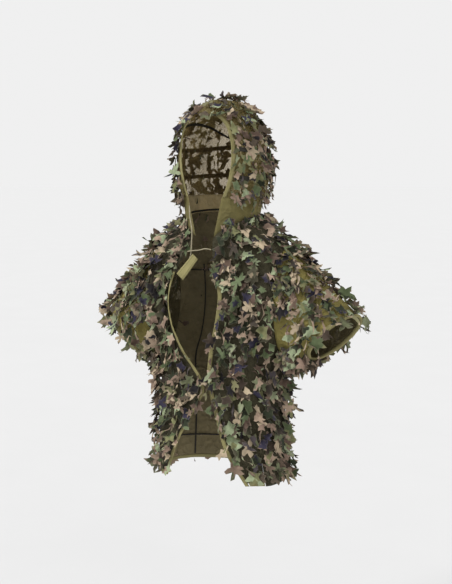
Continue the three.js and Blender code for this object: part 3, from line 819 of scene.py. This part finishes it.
LEAF_LENGTH = 0.046
LEAF_SIZES = (0.72, 1.22)
ROOT_DEPTHS = (3.0 * MM, 8.0 * MM)  # how far off the cloth a leaf's root is sewn
# Leaves are pressed flat where they would stand far outside the jacket's own size.
BOX_MARGIN, BOX_SHARE = 8 * MM, 0.025
LEAF_BOX = [
    [low - BOX_MARGIN - BOX_SHARE * (high - low) for low, high in zip(*cad_box)],
    [high + BOX_MARGIN + BOX_SHARE * (high - low) for low, high in zip(*cad_box)],
]
LEAF_SCALE = 0.56  # brings a leaf of radius about 0.9 to a length of about 1
LEAF_MIDDLE = 0.5
LEAF_CRUMPLE = 0.07
MAP_EDGE = 0.03  # keeps a leaf's own map clear of its neighbours' cells
TRIES_PER_LEAF = 7


def leaf_outline(rng, lobes):
    """Polar outline, as (angle, radius): each lobe has a notch, two shoulders and a tip."""
    depth = rng.uniform(0.36, 0.58)
    blunt = rng.uniform(0.34, 0.62)
    outline = []
    for k in range(lobes):
        middle = (k + 0.5) / lobes * math.tau + rng.uniform(-0.2, 0.2)
        half = math.pi / lobes
        reach = rng.uniform(0.66, 1.12)
        outline.append((middle - half, depth * rng.uniform(0.7, 1.3)))
        outline.append((middle - half * blunt, reach * rng.uniform(0.6, 0.86)))
        outline.append((middle + half * rng.uniform(-0.25, 0.25), reach))
        outline.append((middle + half * blunt, reach * rng.uniform(0.6, 0.86)))
    return outline


def leaf_template(number, rng):
    """One cut leaf, root at the origin, hanging along -Y, about one unit long, curled in Z."""
    outline = leaf_outline(rng, rng.choice((4, 5, 5, 6)))
    slim = rng.uniform(0.62, 0.95)
    bm = bmesh.new()
    rim = bm.verts.layers.float.new("rim")
    bmesh.ops.create_circle(bm, cap_ends=True, cap_tris=True, segments=len(outline), radius=0.5)
    turn_of = {v: math.atan2(v.co.y, v.co.x) for v in bm.verts}
    ring = sorted((v for v in bm.verts if v.co.length > 0.1), key=turn_of.get)
    edges = [e for e in bm.edges if e.is_boundary]
    made = bmesh.ops.extrude_edge_only(bm, edges=edges)["geom"]
    outer = [g for g in made if isinstance(g, bmesh.types.BMVert)]
    outer.sort(key=lambda v: math.atan2(v.co.y, v.co.x))
    turned = sorted(((a + math.pi) % math.tau - math.pi, r) for a, r in outline)
    for inner, far, (angle, radius) in zip(ring, outer, turned):
        for vertex, away, edge in ((inner, radius * 0.3 + 0.12, 0.2), (far, radius, 1.0)):
            vertex.co = Vector((math.cos(angle) * away * slim, math.sin(angle) * away, 0.0))
            vertex[rim] = edge
    fold = rng.uniform(-0.5, 0.65)
    bend = rng.uniform(-0.5, 0.9)
    twist = rng.uniform(-1.3, 1.3)
    phase = rng.uniform(0, math.tau)
    for vertex in bm.verts:
        x, y = vertex.co.x * LEAF_SCALE, vertex.co.y * LEAF_SCALE - LEAF_MIDDLE
        z = fold * abs(x) + bend * (y + 0.2) ** 2
        z += LEAF_CRUMPLE * math.sin(11 * x + phase) * math.cos(8 * y + phase)
        turn = Matrix.Rotation(twist * (y + 0.2), 3, "Y")
        vertex.co = turn @ Vector((x, y, z))
    return finish_template(bm, f"leaf_{number}")


def ribbon_template(number, rng):
    """A narrow offcut that hangs between the leaves and curls round itself."""
    bm = bmesh.new()
    bmesh.ops.create_grid(bm, x_segments=1, y_segments=9, size=0.5)
    rim = bm.verts.layers.float.new("rim")
    phase = rng.uniform(0, math.tau)
    for vertex in bm.verts:
        down = 0.5 - vertex.co.y
        x = vertex.co.x * (0.11 + 0.05 * math.sin(down * 11 + phase))
        vertex[rim] = 0.8
        turn = Matrix.Rotation(rng.uniform(0.9, 1.1) * down * 2.6 + phase, 3, "Y")
        spread = Vector((0.12 * math.sin(down * 5 + phase), -down * 1.15, 0.1 * math.sin(down * 7)))
        vertex.co = turn @ Vector((x, 0.0, 0.0)) + spread
    return finish_template(bm, f"ribbon_{number}")


def finish_template(bm, name):
    layer = bm.loops.layers.uv.new("OFBake")
    for face in bm.faces:
        for loop in face.loops:
            loop[layer].uv = (0.5 + loop.vert.co.x * 0.6, -loop.vert.co.y * 0.75 + 0.04)
    tint = bm.verts.layers.float.new("tint")
    for vertex in bm.verts:
        vertex[tint] = 0.0
    bmesh.ops.recalc_face_normals(bm, faces=bm.faces)
    mesh = bpy.data.meshes.new(name)
    bm.to_mesh(mesh)
    bm.free()
    return mesh


def leaf_spots(found, spacing, rng, wanted=None, reach=(0, 1, 0, 1)):
    """Places over a surface at least spacing apart, as (point, normal).

    wanted(point) can refuse one. reach is the part of the surface to use, from u to u and v to v.
    """
    cells = 30
    us = np.linspace(reach[0], reach[1], cells + 1)
    vs = np.linspace(reach[2], reach[3], cells + 1)
    points, _ = found.grid_at(us, vs)
    sides = np.diff(points, axis=0)[:, :-1], np.diff(points, axis=1)[:-1]
    areas = np.linalg.norm(np.cross(*sides), axis=2).ravel()
    tries = int(areas.sum() / spacing**2 * TRIES_PER_LEAF) + 8
    chosen = np.array(rng.choices(range(cells * cells), weights=areas, k=tries))
    jitter = np.array([(rng.random(), rng.random()) for _ in range(tries)])
    across = (reach[1] - reach[0]) / cells
    up = (reach[3] - reach[2]) / cells
    places, normals = found.at(
        reach[0] + (chosen // cells + jitter[:, 0]) * across,
        reach[2] + (chosen % cells + jitter[:, 1]) * up,
    )
    kept = np.zeros((0, 3))
    spots = []
    for place, normal in zip(places, normals):
        if len(kept) and ((kept - place) ** 2).sum(1).min() < spacing**2:
            continue
        if wanted and not wanted(Vector(place)):
            continue
        kept = np.vstack([kept, place])
        spots.append((Vector(place), Vector(normal)))
    return spots


DOWN = Vector((0, 0, -1))


def leaf_frame(normal, rng, lift):
    """The turn from leaf space to the garment: -Y hangs down the cloth, Z points off it."""
    into = DOWN.dot(normal)
    down = DOWN - normal * min(into, 0.0)
    if down.length < 0.3:
        away = Vector((rng.uniform(-1, 1), rng.uniform(-1, 1), 0))
        down = down + (away - normal * away.dot(normal)) * 0.6
    down.normalize()
    off = normal - down * normal.dot(down)
    if off.length < 0.2:
        off = off + Vector((rng.uniform(-1, 1), rng.uniform(-1, 1), 0)) * 0.5
    off.normalize()
    side = down.cross(off).normalized()
    base = Matrix((side, -down, off)).transposed()
    yaw = Matrix.Rotation(rng.gauss(0, 0.5), 3, "Z")
    tilt = Matrix.Rotation(-lift * (1 - 0.7 * max(into, 0.0)), 3, "X")
    roll = Matrix.Rotation(rng.gauss(0, 0.55), 3, "Y")
    return base @ yaw @ tilt @ roll


def scatter(name, spots, templates, material, seed, size=1.0, lift=(0.12, 0.65)):
    """Many cut leaves as one piece, each with a tint and its own cell of the bake map."""
    rng = random.Random(seed)
    cells = math.ceil(math.sqrt(max(1, len(spots))))
    bm = bmesh.new()
    for number, (point, normal) in enumerate(spots):
        leaf = rng.choice(templates)
        length = LEAF_LENGTH * size * rng.uniform(*LEAF_SIZES)
        turn = leaf_frame(normal, rng, rng.uniform(*lift)).to_4x4()
        root = point + normal * rng.uniform(*ROOT_DEPTHS)
        placed = leaf.copy()
        squash = Matrix.Diagonal((rng.uniform(0.8, 1.15), 1.0, rng.choice((-1, 1)), 1.0))
        placed.transform(Matrix.Translation(root) @ turn @ Matrix.Scale(length, 4) @ squash)
        count = len(placed.vertices)
        placed.attributes["tint"].data.foreach_set("value", [rng.random()] * count)
        layer = placed.uv_layers["OFBake"].data
        uvs = np.zeros(len(layer) * 2, np.float32)
        layer.foreach_get("uv", uvs)
        cell = np.array([number % cells, number // cells], np.float32)
        uvs = (np.clip(uvs.reshape(-1, 2), MAP_EDGE, 1 - MAP_EDGE) + cell) / cells
        layer.foreach_set("uv", uvs.ravel())
        bm.from_mesh(placed)
        bpy.data.meshes.remove(placed)
    for vertex in bm.verts:
        for axis in range(3):
            low, high = LEAF_BOX[0][axis], LEAF_BOX[1][axis]
            vertex.co[axis] = min(max(vertex.co[axis], low), high)
    return mesh_piece(name, bm, material)


# ---- Lights and floor ----------------------------------------------------------------------


FLOOR_HEIGHT = -1.45
FLOOR_RADIUS = 60.0
FLOOR_GREY, FLOOR_SPECKLE = 0.64, 0.01
WORLD_STRENGTH = 0.87
LAMPS = (
    ("key", (-1.9, -2.9, 2.9), 20.0, 2.0),
    ("fill", (2.6, -2.4, 1.6), 40.0, 0.4),
)


def add_stage():
    bm = bmesh.new()
    bmesh.ops.create_circle(bm, cap_ends=True, segments=96, radius=FLOOR_RADIUS)
    bmesh.ops.translate(bm, verts=bm.verts, vec=(0, 0, FLOOR_HEIGHT))
    material, tree, shader = new_material("floor")
    speckle = noise_of(tree, object_coordinates(tree), 3.0, 2.0)
    ends = [grey(FLOOR_GREY + sign * FLOOR_SPECKLE) for sign in (-1, 1)]
    colour = blend_colours(tree, speckle, *ends)
    drive(tree, shader.inputs["Base Color"], colour)
    shader.inputs["Roughness"].default_value = 0.95
    shader.inputs["Specular IOR Level"].default_value = 0.0
    mesh_piece("floor", bm, material)


def add_lights():
    world = bpy.data.worlds.new("studio")
    bpy.context.scene.world = world
    world.use_nodes = True
    background = world.node_tree.nodes["Background"]
    background.inputs["Color"].default_value = (1.0, 1.0, 1.0, 1.0)
    background.inputs["Strength"].default_value = WORLD_STRENGTH
    for name, place, softness, energy in LAMPS:
        data = bpy.data.lights.new(name, "SUN")
        data.angle = math.radians(softness)
        data.energy = energy
        lamp = bpy.data.objects.new(name, data)
        lamp.location = place
        lamp.rotation_mode = "QUATERNION"
        lamp.rotation_quaternion = (Vector(place) - TARGET).to_track_quat("Z", "Y")
        bpy.context.scene.collection.objects.link(lamp)


# ---- Cords ---------------------------------------------------------------------------------

TIE_ROUTE = ((34, -143, -86), (18, -146, -84), (2, -148, -88), (-16, -148, -90), (-34, -146, -93))
DRAWCORD_ROUTE = (
    (-44, -117, 26), (-38, -126, 0), (-28, -134, -34), (-25, -140, -66), (-27, -142, -104),
)
TIE_DIAMETER = 0.003
DRAWCORD_DIAMETER = 0.0035
KNOT_STRAND = 0.0017
KNOT_STEPS = 40


def add_cord(name, route, diameter, material, node):
    curve = bpy.data.curves.new(name, "CURVE")
    curve.dimensions = "3D"
    curve.resolution_u = 10
    curve.bevel_depth = diameter / 2
    curve.bevel_resolution = 4
    curve.use_fill_caps = True
    spline = curve.splines.new("BEZIER")
    spline.bezier_points.add(len(route) - 1)
    for knot, place in zip(spline.bezier_points, route):
        knot.co = Vector(place) * MM
        knot.handle_left_type = knot.handle_right_type = "AUTO"
    piece = link(name, curve, material)
    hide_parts(node)
    return piece


def add_knot(material):
    """An overhand knot at the drawcord's end: one strand wound round and through itself."""
    low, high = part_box("drawcord_knot")
    middle, half = (low + high) / 2, (high - low) / 2
    scale = (half.x - KNOT_STRAND) / 3
    places = []
    for k in range(KNOT_STEPS):
        t = k / KNOT_STEPS * math.tau
        ring = 2 + math.cos(3 * t)
        off = Vector((ring * math.cos(2 * t), ring * math.sin(2 * t), 1.15 * math.sin(3 * t)))
        places.append(middle + Vector((off.x * scale, off.y * scale, off.z * scale * 2.1)))
    bm = bmesh.new()
    bmesh.ops.create_circle(bm, segments=10, radius=KNOT_STRAND)
    base = [v.co.copy() for v in bm.verts]

    def seat(verts, k):
        ahead = (places[(k + 1) % KNOT_STEPS] - places[k - 1]).normalized()
        turn = ahead.to_track_quat("Z", "Y")
        for vertex, flat in zip(verts, base):
            vertex.co = places[k] + turn @ flat

    seat(list(bm.verts), 0)
    edges = list(bm.edges)
    for k in range(1, KNOT_STEPS):
        made = bmesh.ops.extrude_edge_only(bm, edges=edges)["geom"]
        edges = [g for g in made if isinstance(g, bmesh.types.BMEdge) and g.is_boundary]
        seat([g for g in made if isinstance(g, bmesh.types.BMVert)], k)
    bmesh.ops.bridge_loops(bm, edges=[e for e in bm.edges if e.is_boundary])
    bmesh.ops.recalc_face_normals(bm, faces=bm.faces)
    piece = mesh_piece("knot", bm, material)
    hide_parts("drawcord_knot")
    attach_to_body(piece, "hood")
    return piece


# ---- The build -----------------------------------------------------------------------------

add_camera()
cord_look = cord_material()
knot = add_knot(cord_look)
tie = add_cord("tie_cord", TIE_ROUTE, TIE_DIAMETER, cord_look, "neck_tie_cord")
drawcord = add_cord("drawcord", DRAWCORD_ROUTE, DRAWCORD_DIAMETER, cord_look, "hood_drawcord")
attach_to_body(tie, "torso")
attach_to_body(drawcord, "hood")

# The mesh cloth's outer colour is far darker than the bare sleeve cloth's olive: painted shade for the
# shadows between the leaves sewn over it.
mesh_cloth = cloth_material(
    "mesh_cloth", rgb(62, 58, 40), rgb(128, 117, 86), pitch=0.0024, hole=-0.1, gap=0.14, through=0.1
)
hood_cloth = cloth_material(
    "hood_cloth", rgb(140, 132, 86), rgb(126, 108, 76), pitch=0.0012, hole=0.5, gap=0.95, through=0.5
)
sleeve_cloth = cloth_material(
    "sleeve_cloth", rgb(164, 152, 88), rgb(92, 84, 58), pitch=0.002, hole=-0.1, gap=0.4, through=0.25
)
band_cloth = cloth_material(
    "band_cloth", rgb(138, 130, 84), rgb(226, 208, 166), pitch=0.0016, hole=-1.0, gap=0.0, through=0.4
)
tape_look = tape_material("binding_tape", rgb(156, 148, 100), rgb(88, 82, 52))
elastic_look = elastic_material()
leaf_look = leaf_material()
metal_look = metal_material()

leaf_rng = random.Random(7)
LEAVES = [leaf_template(i, leaf_rng) for i in range(20)]
RIBBONS = [ribbon_template(i, leaf_rng) for i in range(4)]
TEMPLATES = LEAVES * 2 + RIBBONS

# The neck band turns with the hood above the neck seam, whose highest point is at the back.
NECK_BLEND = ("torso", "hood", Vector((0.0, 0.0, 0.004)), Vector((0.0, 0.0, 0.047)))
ARMHOLE_X = 0.192
GUSSET_END = {"left": 0.25, "right": 0.229}
FOLD_LINES = {
    "left": (Vector((0.078, -0.113, -0.15)), Vector((0.165, -0.08, -0.72))),
    "right": (Vector((-0.108, -0.116, -0.15)), Vector((-0.165, -0.08, -0.72))),
}
SEWN_TOP = Vector((0.0, 0.0, -0.152))
FREE_BELOW = Vector((0.0, 0.0, -0.215))


def armhole_step(place, name):
    """Which of the bands of leaves across an armhole a place is in."""
    share = (abs(place.x) - ARMHOLE_X) / (GUSSET_END[name] - ARMHOLE_X)
    return min(max(int(share * ARMHOLE_STEPS), 0), ARMHOLE_STEPS - 1)


def stiff_blend(name, step):
    """A blend that changes so little across one band of leaves that no leaf is stretched.

    Its middle share is the one that the cloth below the band has.
    """
    share = (step + 0.5) / ARMHOLE_STEPS
    middle = ARMHOLE_X + share * (GUSSET_END[name] - ARMHOLE_X)
    start = middle - share * STIFF_SPAN
    ends = [Vector((side_of(name) * x, 0, 0)) for x in (start, start + STIFF_SPAN)]
    return "torso", f"sleeve_{name}", *ends


def front_blend(name):
    """A front hangs from the yoke seam and swings freely below the chest."""
    return "torso", f"front_{name}", SEWN_TOP, FREE_BELOW


def attach(piece, body):
    """Rides one body that a name gives. Where a tuple names two bodies, the piece is left unparented
    with its transform baked into its mesh.
    """
    if isinstance(body, str):
        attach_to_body(piece, body)
    else:
        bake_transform(piece)


def add_panels():
    """Every piece of base cloth."""
    made = []
    for name in SIDES:
        sleeve = f"sleeve_{name}"
        for node, body, material in (
            (f"back_panel_{name}", "torso", mesh_cloth),
            (f"side_panel_{name}", "torso", mesh_cloth),
            (f"shoulder_yoke_{name}", "torso", mesh_cloth),
            (f"front_flap_{name}", front_blend(name), mesh_cloth),
            (f"sleeve_front_{name}", sleeve, sleeve_cloth),
            (f"sleeve_back_{name}", sleeve, sleeve_cloth),
            (f"hood_side_{name}", "hood", hood_cloth),
        ):
            piece = add_cloth(node, material)
            attach(piece, body)
            made.append((piece, node))
        node = f"neck_band_{name}"
        piece = add_cloth(node, band_cloth, 2.0 * MM)
        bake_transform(piece)
        made.append((piece, node))
        for half in ("front", "back"):
            node = f"armhole_{half}_{name}"
            piece = add_cloth(node, sleeve_cloth, 5.0 * MM)
            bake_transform(piece)
            made.append((piece, node))
    piece = add_cloth("hood_crown", hood_cloth)
    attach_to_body(piece, "hood")
    made.append((piece, "hood_crown"))
    for piece, node in made:
        flat, area = flat_size(surface(node))


def add_tapes():
    for name in SIDES:
        for node, body in (
            (f"front_binding_{name}", front_blend(name)),
            (f"flap_hem_binding_{name}", f"front_{name}"),
            (f"back_hem_binding_{name}", "torso"),
            (f"face_binding_{name}", NECK_BLEND),
        ):
            piece = add_strip(f"tape_{node}", surface(node), tape_look, 2.4 * MM, 1.8 * MM)
            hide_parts(node)
            attach(piece, body)
        for node, body in (
            (f"back_elastic_{name}", "torso"),
            (f"hood_elastic_lower_{name}", "hood"),
            (f"hood_elastic_upper_{name}", "hood"),
        ):
            piece = add_strip(f"band_{node}", surface(node), elastic_look, 1.0 * MM, 0.8 * MM)
            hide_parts(node)
            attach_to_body(piece, body)


def level_share(found, height):
    """The v at which the middle of the hood's crown comes down to a height."""

    def level(v):
        return found.at(np.array([0.5]), np.array([v]))[0][0][2]

    low, high = 0.5, 1.0
    rising = level(high) > level(low)
    for _ in range(20):
        middle = (low + high) / 2
        if (level(middle) > height) == rising:
            high = middle
        else:
            low = middle
    return (low + high) / 2


# Where the seams run, as shares of their cloth, and the heights and widths on the hood's crown.
NECK_SEAM, HIGH_SEAM, UPRIGHT_SEAM = 0.1, 0.75, 0.4
BACK_SEAMS = (("low", 0.1), ("high", 0.97))
WIDE_SEAM, NARROW_SEAM = 7 * MM, 4 * MM
CROWN_ELASTICS = (("lower", 0.104, 0.006), ("upper", 0.182, 0.006), ("top", 0.214, 0.004))
SEAM_LIFT, CROWN_LIFT = -2.2 * MM, -4.2 * MM


def add_seams():
    """Narrow dark tapes inside the garment, and the elastics' runs across the hood's crown."""
    strips = []
    for name in SIDES:
        neck, hood = surface(f"neck_band_{name}"), surface(f"hood_side_{name}")
        back = surface(f"back_panel_{name}")
        strips.append((f"seam_neck_{name}", neck, NECK_SEAM, WIDE_SEAM, "torso", SEAM_LIFT))
        strips.append((f"seam_high_{name}", hood, HIGH_SEAM, WIDE_SEAM, "hood", SEAM_LIFT))
        for where, share in BACK_SEAMS:
            label = f"seam_back_{where}_{name}"
            strips.append((label, back, share, NARROW_SEAM, "torso", SEAM_LIFT))
        label = f"seam_back_upright_{name}"
        strips.append((label, back.turned(), UPRIGHT_SEAM, NARROW_SEAM, "torso", SEAM_LIFT))
    crown = surface("hood_crown")
    for where, height, width in CROWN_ELASTICS:
        share = level_share(crown, height)
        strips.append((f"band_crown_{where}", crown, share, width, "hood", CROWN_LIFT))
    for label, found, share, width, body, lift in strips:
        strip = strip_of(found, share, width)
        piece = add_strip(label, strip, elastic_look, 0.8 * MM, 0.6 * MM, lift)
        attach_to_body(piece, body)


TAB_TOP = (Vector((-0.019, -0.145, -0.099)), Vector((-0.003, -0.146, -0.112)))
TAB_LOW = (Vector((-0.066, -0.149, -0.153)), Vector((-0.047, -0.149, -0.17)))
TAB_ROWS = 5


def add_tab():
    """The pale facing turned out at the top of the right front edge."""
    rows = [
        [np.array(top.lerp(low, k / TAB_ROWS)) for top, low in zip(TAB_TOP, TAB_LOW)]
        for k in range(TAB_ROWS + 1)
    ]
    found = Surface(np.array(rows), lambda place: (0, 0, place[2]))
    piece = add_strip("facing_tab", found, tape_look, 1.6 * MM, 2.5 * MM)
    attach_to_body(piece, "torso")


CUFF_RADIUS = 0.075
CUFF_RUMPLE_RATE, CUFF_RUMPLE = 90, 1.1 * MM


def add_cuff(name):
    """The cuff's folded tape, from the CAD ring made rounder and rumpled."""
    node = f"cuff_binding_{name}"
    bm = bmesh.new()
    bm.from_mesh(frame["nodes"][node].data)
    bmesh.ops.remove_doubles(bm, verts=bm.verts, dist=0.05 * MM)
    layer = bm.loops.layers.uv.new("tape")
    bmesh.ops.recalc_face_normals(bm, faces=bm.faces)
    middle = sum((v.co for v in bm.verts), Vector()) / len(bm.verts)
    bmesh.ops.subdivide_edges(bm, edges=bm.edges, cuts=2, smooth=0.6, use_grid_fill=True)
    for face in bm.faces:
        for loop in face.loops:
            away = loop.vert.co - middle
            loop[layer].uv = (math.atan2(away.z, away.y) * CUFF_RADIUS, 0.5)
    bm.normal_update()
    for vertex in bm.verts:
        vertex.co += vertex.normal * noise.noise(vertex.co * CUFF_RUMPLE_RATE) * CUFF_RUMPLE
    piece = mesh_piece(f"tape_{node}", bm, tape_look)
    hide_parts(node)
    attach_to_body(piece, f"sleeve_{name}")


# How far apart leaves are sewn.
BODY_SPACING = 0.0175
NECK_SPACING = 0.015
HOOD_SPACING = 0.0165
SLEEVE_SPACING = 0.0145
EDGE_SPACING = 0.021
# Where none are sewn: near a fold line, by a lowered cuff and below these heights.
FOLD_CLEAR = 0.009
CUFF_CLEAR = 0.02
HEM_CLEAR = -0.697
FRONT_HEM_CLEAR = -0.682
FRONT_FROM = -0.03
NECK_LEAVES_TOP = 0.002
BARE_EDGE = {"left": ((-0.209, -0.173), (-0.74, -0.56)), "right": ((-0.35, -0.11),)}
# Folds of bare cloth in front of the left underarm and beside the right one: the x from and to,
# the z from and to, and the y that they are in front of.
BARE_FOLDS = (((0.185, 0.238), (-0.335, -0.238), 0.0), ((-0.228, -0.165), (-0.36, -0.27), -0.02))
CORD_GAP = (0.05, -0.1, -0.1)  # half its width, and the y and z that it starts from
ARMHOLE_STEPS = 5
STIFF_SPAN = 1.0


def above_hem(place):
    return place.z > (FRONT_HEM_CLEAR if place.y < FRONT_FROM else HEM_CLEAR)


def beside_cord(place):
    """False where the drawcord and the tie hang free of leaves."""
    half, front, top = CORD_GAP
    return not (abs(place.x) < half and place.y < front and place.z > top)


def bare(place):
    return any(
        near < place.x < far and low < place.z < high and place.y < front
        for (near, far), (low, high), front in BARE_FOLDS
    )


def by_cuff(place, name):
    """True where a leaf would hang against the cuff of the lowered sleeve."""
    low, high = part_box(f"cuff_binding_{name}")
    reach = (CUFF_CLEAR, CUFF_CLEAR, LEAF_LENGTH)
    return all(a - CUFF_CLEAR < p < b + r for a, p, b, r in zip(low, place, high, reach))


def grow(name, parts, layers, body, seed, spacing=BODY_SPACING, wanted=None, **more):
    """Leaves over some surfaces. parts are surfaces, or (surface, reach) pairs."""
    rng = random.Random(seed)
    spots = []
    for part in parts:
        found, reach = part if isinstance(part, tuple) else (part, (0, 1, 0, 1))
        spots += leaf_spots(found, spacing, rng, wanted, reach)
    piece = scatter(name, spots, TEMPLATES, leaf_look, seed + 1, **more)
    if layers:
        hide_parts(*layers)
    attach(piece, body)


def off_fold(place, name):
    """True where a leaf is far enough from the line that a front turns back about."""
    top, hem = FOLD_LINES[name]
    along = (hem - top).normalized()
    away = place - top
    return (away - along * away.dot(along)).length > FOLD_CLEAR


def add_leaves():
    for number, name in enumerate(SIDES):
        seed = 100 * (number + 1)
        back, flank = surface(f"back_panel_{name}"), surface(f"side_panel_{name}")
        yoke, flap = surface(f"shoulder_yoke_{name}"), surface(f"front_flap_{name}")
        grow(
            f"leaves_back_{name}", [back], [f"back_leaf_layer_{name}"], "torso", seed,
            wanted=above_hem,
        )
        grow(
            f"leaves_side_{name}", [flank], [f"side_leaf_layer_{name}"], "torso", seed + 10,
            wanted=lambda p, name=name: above_hem(p) and off_fold(p, name) and not bare(p)
            and not by_cuff(p, name),
        )
        grow(f"leaves_yoke_{name}", [yoke], [f"yoke_leaf_layer_{name}"], "torso", seed + 20)
        grow(
            f"leaves_neck_{name}", [(surface(f"neck_band_{name}"), (0, 1, 0, 0.75))], [],
            "torso", seed + 25, NECK_SPACING,
            lambda p: p.z < NECK_LEAVES_TOP and beside_cord(p), size=0.8, lift=(0.1, 0.5),
        )
        grow(
            f"leaves_front_{name}", [flap], [f"flap_leaf_layer_{name}"], front_blend(name), seed + 30,
            wanted=lambda p, name=name: above_hem(p) and off_fold(p, name),
        )
        clear = BARE_EDGE[name]
        grow(
            f"leaves_edge_{name}", [surface(f"front_binding_{name}")], [], front_blend(name), seed + 35,
            EDGE_SPACING,
            lambda p, clear=clear: above_hem(p) and not any(a < p.z < b for a, b in clear),
            size=0.85,
        )
        for half in ("front", "back"):
            grow(
                f"leaves_sleeve_{half}_{name}", [surface(f"sleeve_{half}_{name}")],
                [f"sleeve_leaf_layer_{half}_{name}"], f"sleeve_{name}", seed + 40 + len(half),
                SLEEVE_SPACING, lambda p: not bare(p),
            )
        for step in range(ARMHOLE_STEPS):
            grow(
                f"leaves_armhole_{name}_{step}",
                [surface(f"armhole_front_{name}"), surface(f"armhole_back_{name}")], [],
                stiff_blend(name, step), seed + 60 + step, SLEEVE_SPACING,
                lambda p, name=name, step=step: armhole_step(p, name) == step and not bare(p),
            )
        grow(
            f"leaves_hood_{name}", [surface(f"hood_side_{name}")], [f"hood_leaf_layer_{name}"], "hood",
            seed + 70, HOOD_SPACING, size=0.9, lift=(0.0, 0.4),
        )
    grow(
        "leaves_hood_crown", [surface("hood_crown")], ["hood_leaf_layer_crown"], "hood", 900,
        HOOD_SPACING, size=0.85, lift=(0.0, 0.25),
    )


add_panels()
add_tapes()
add_seams()
add_tab()
for name in SIDES:
    add_cuff(name)
for name, kind in (("left", "socket"), ("right", "stud")):
    for where in ("waist", "chest"):
        snap = frame["nodes"][f"snap_{kind}_{where}"]
        snap.data.materials.clear()
        snap.data.materials.append(metal_look)
add_leaves()
add_stage()
add_lights()
bpy.context.scene.view_settings.view_transform = "Standard"
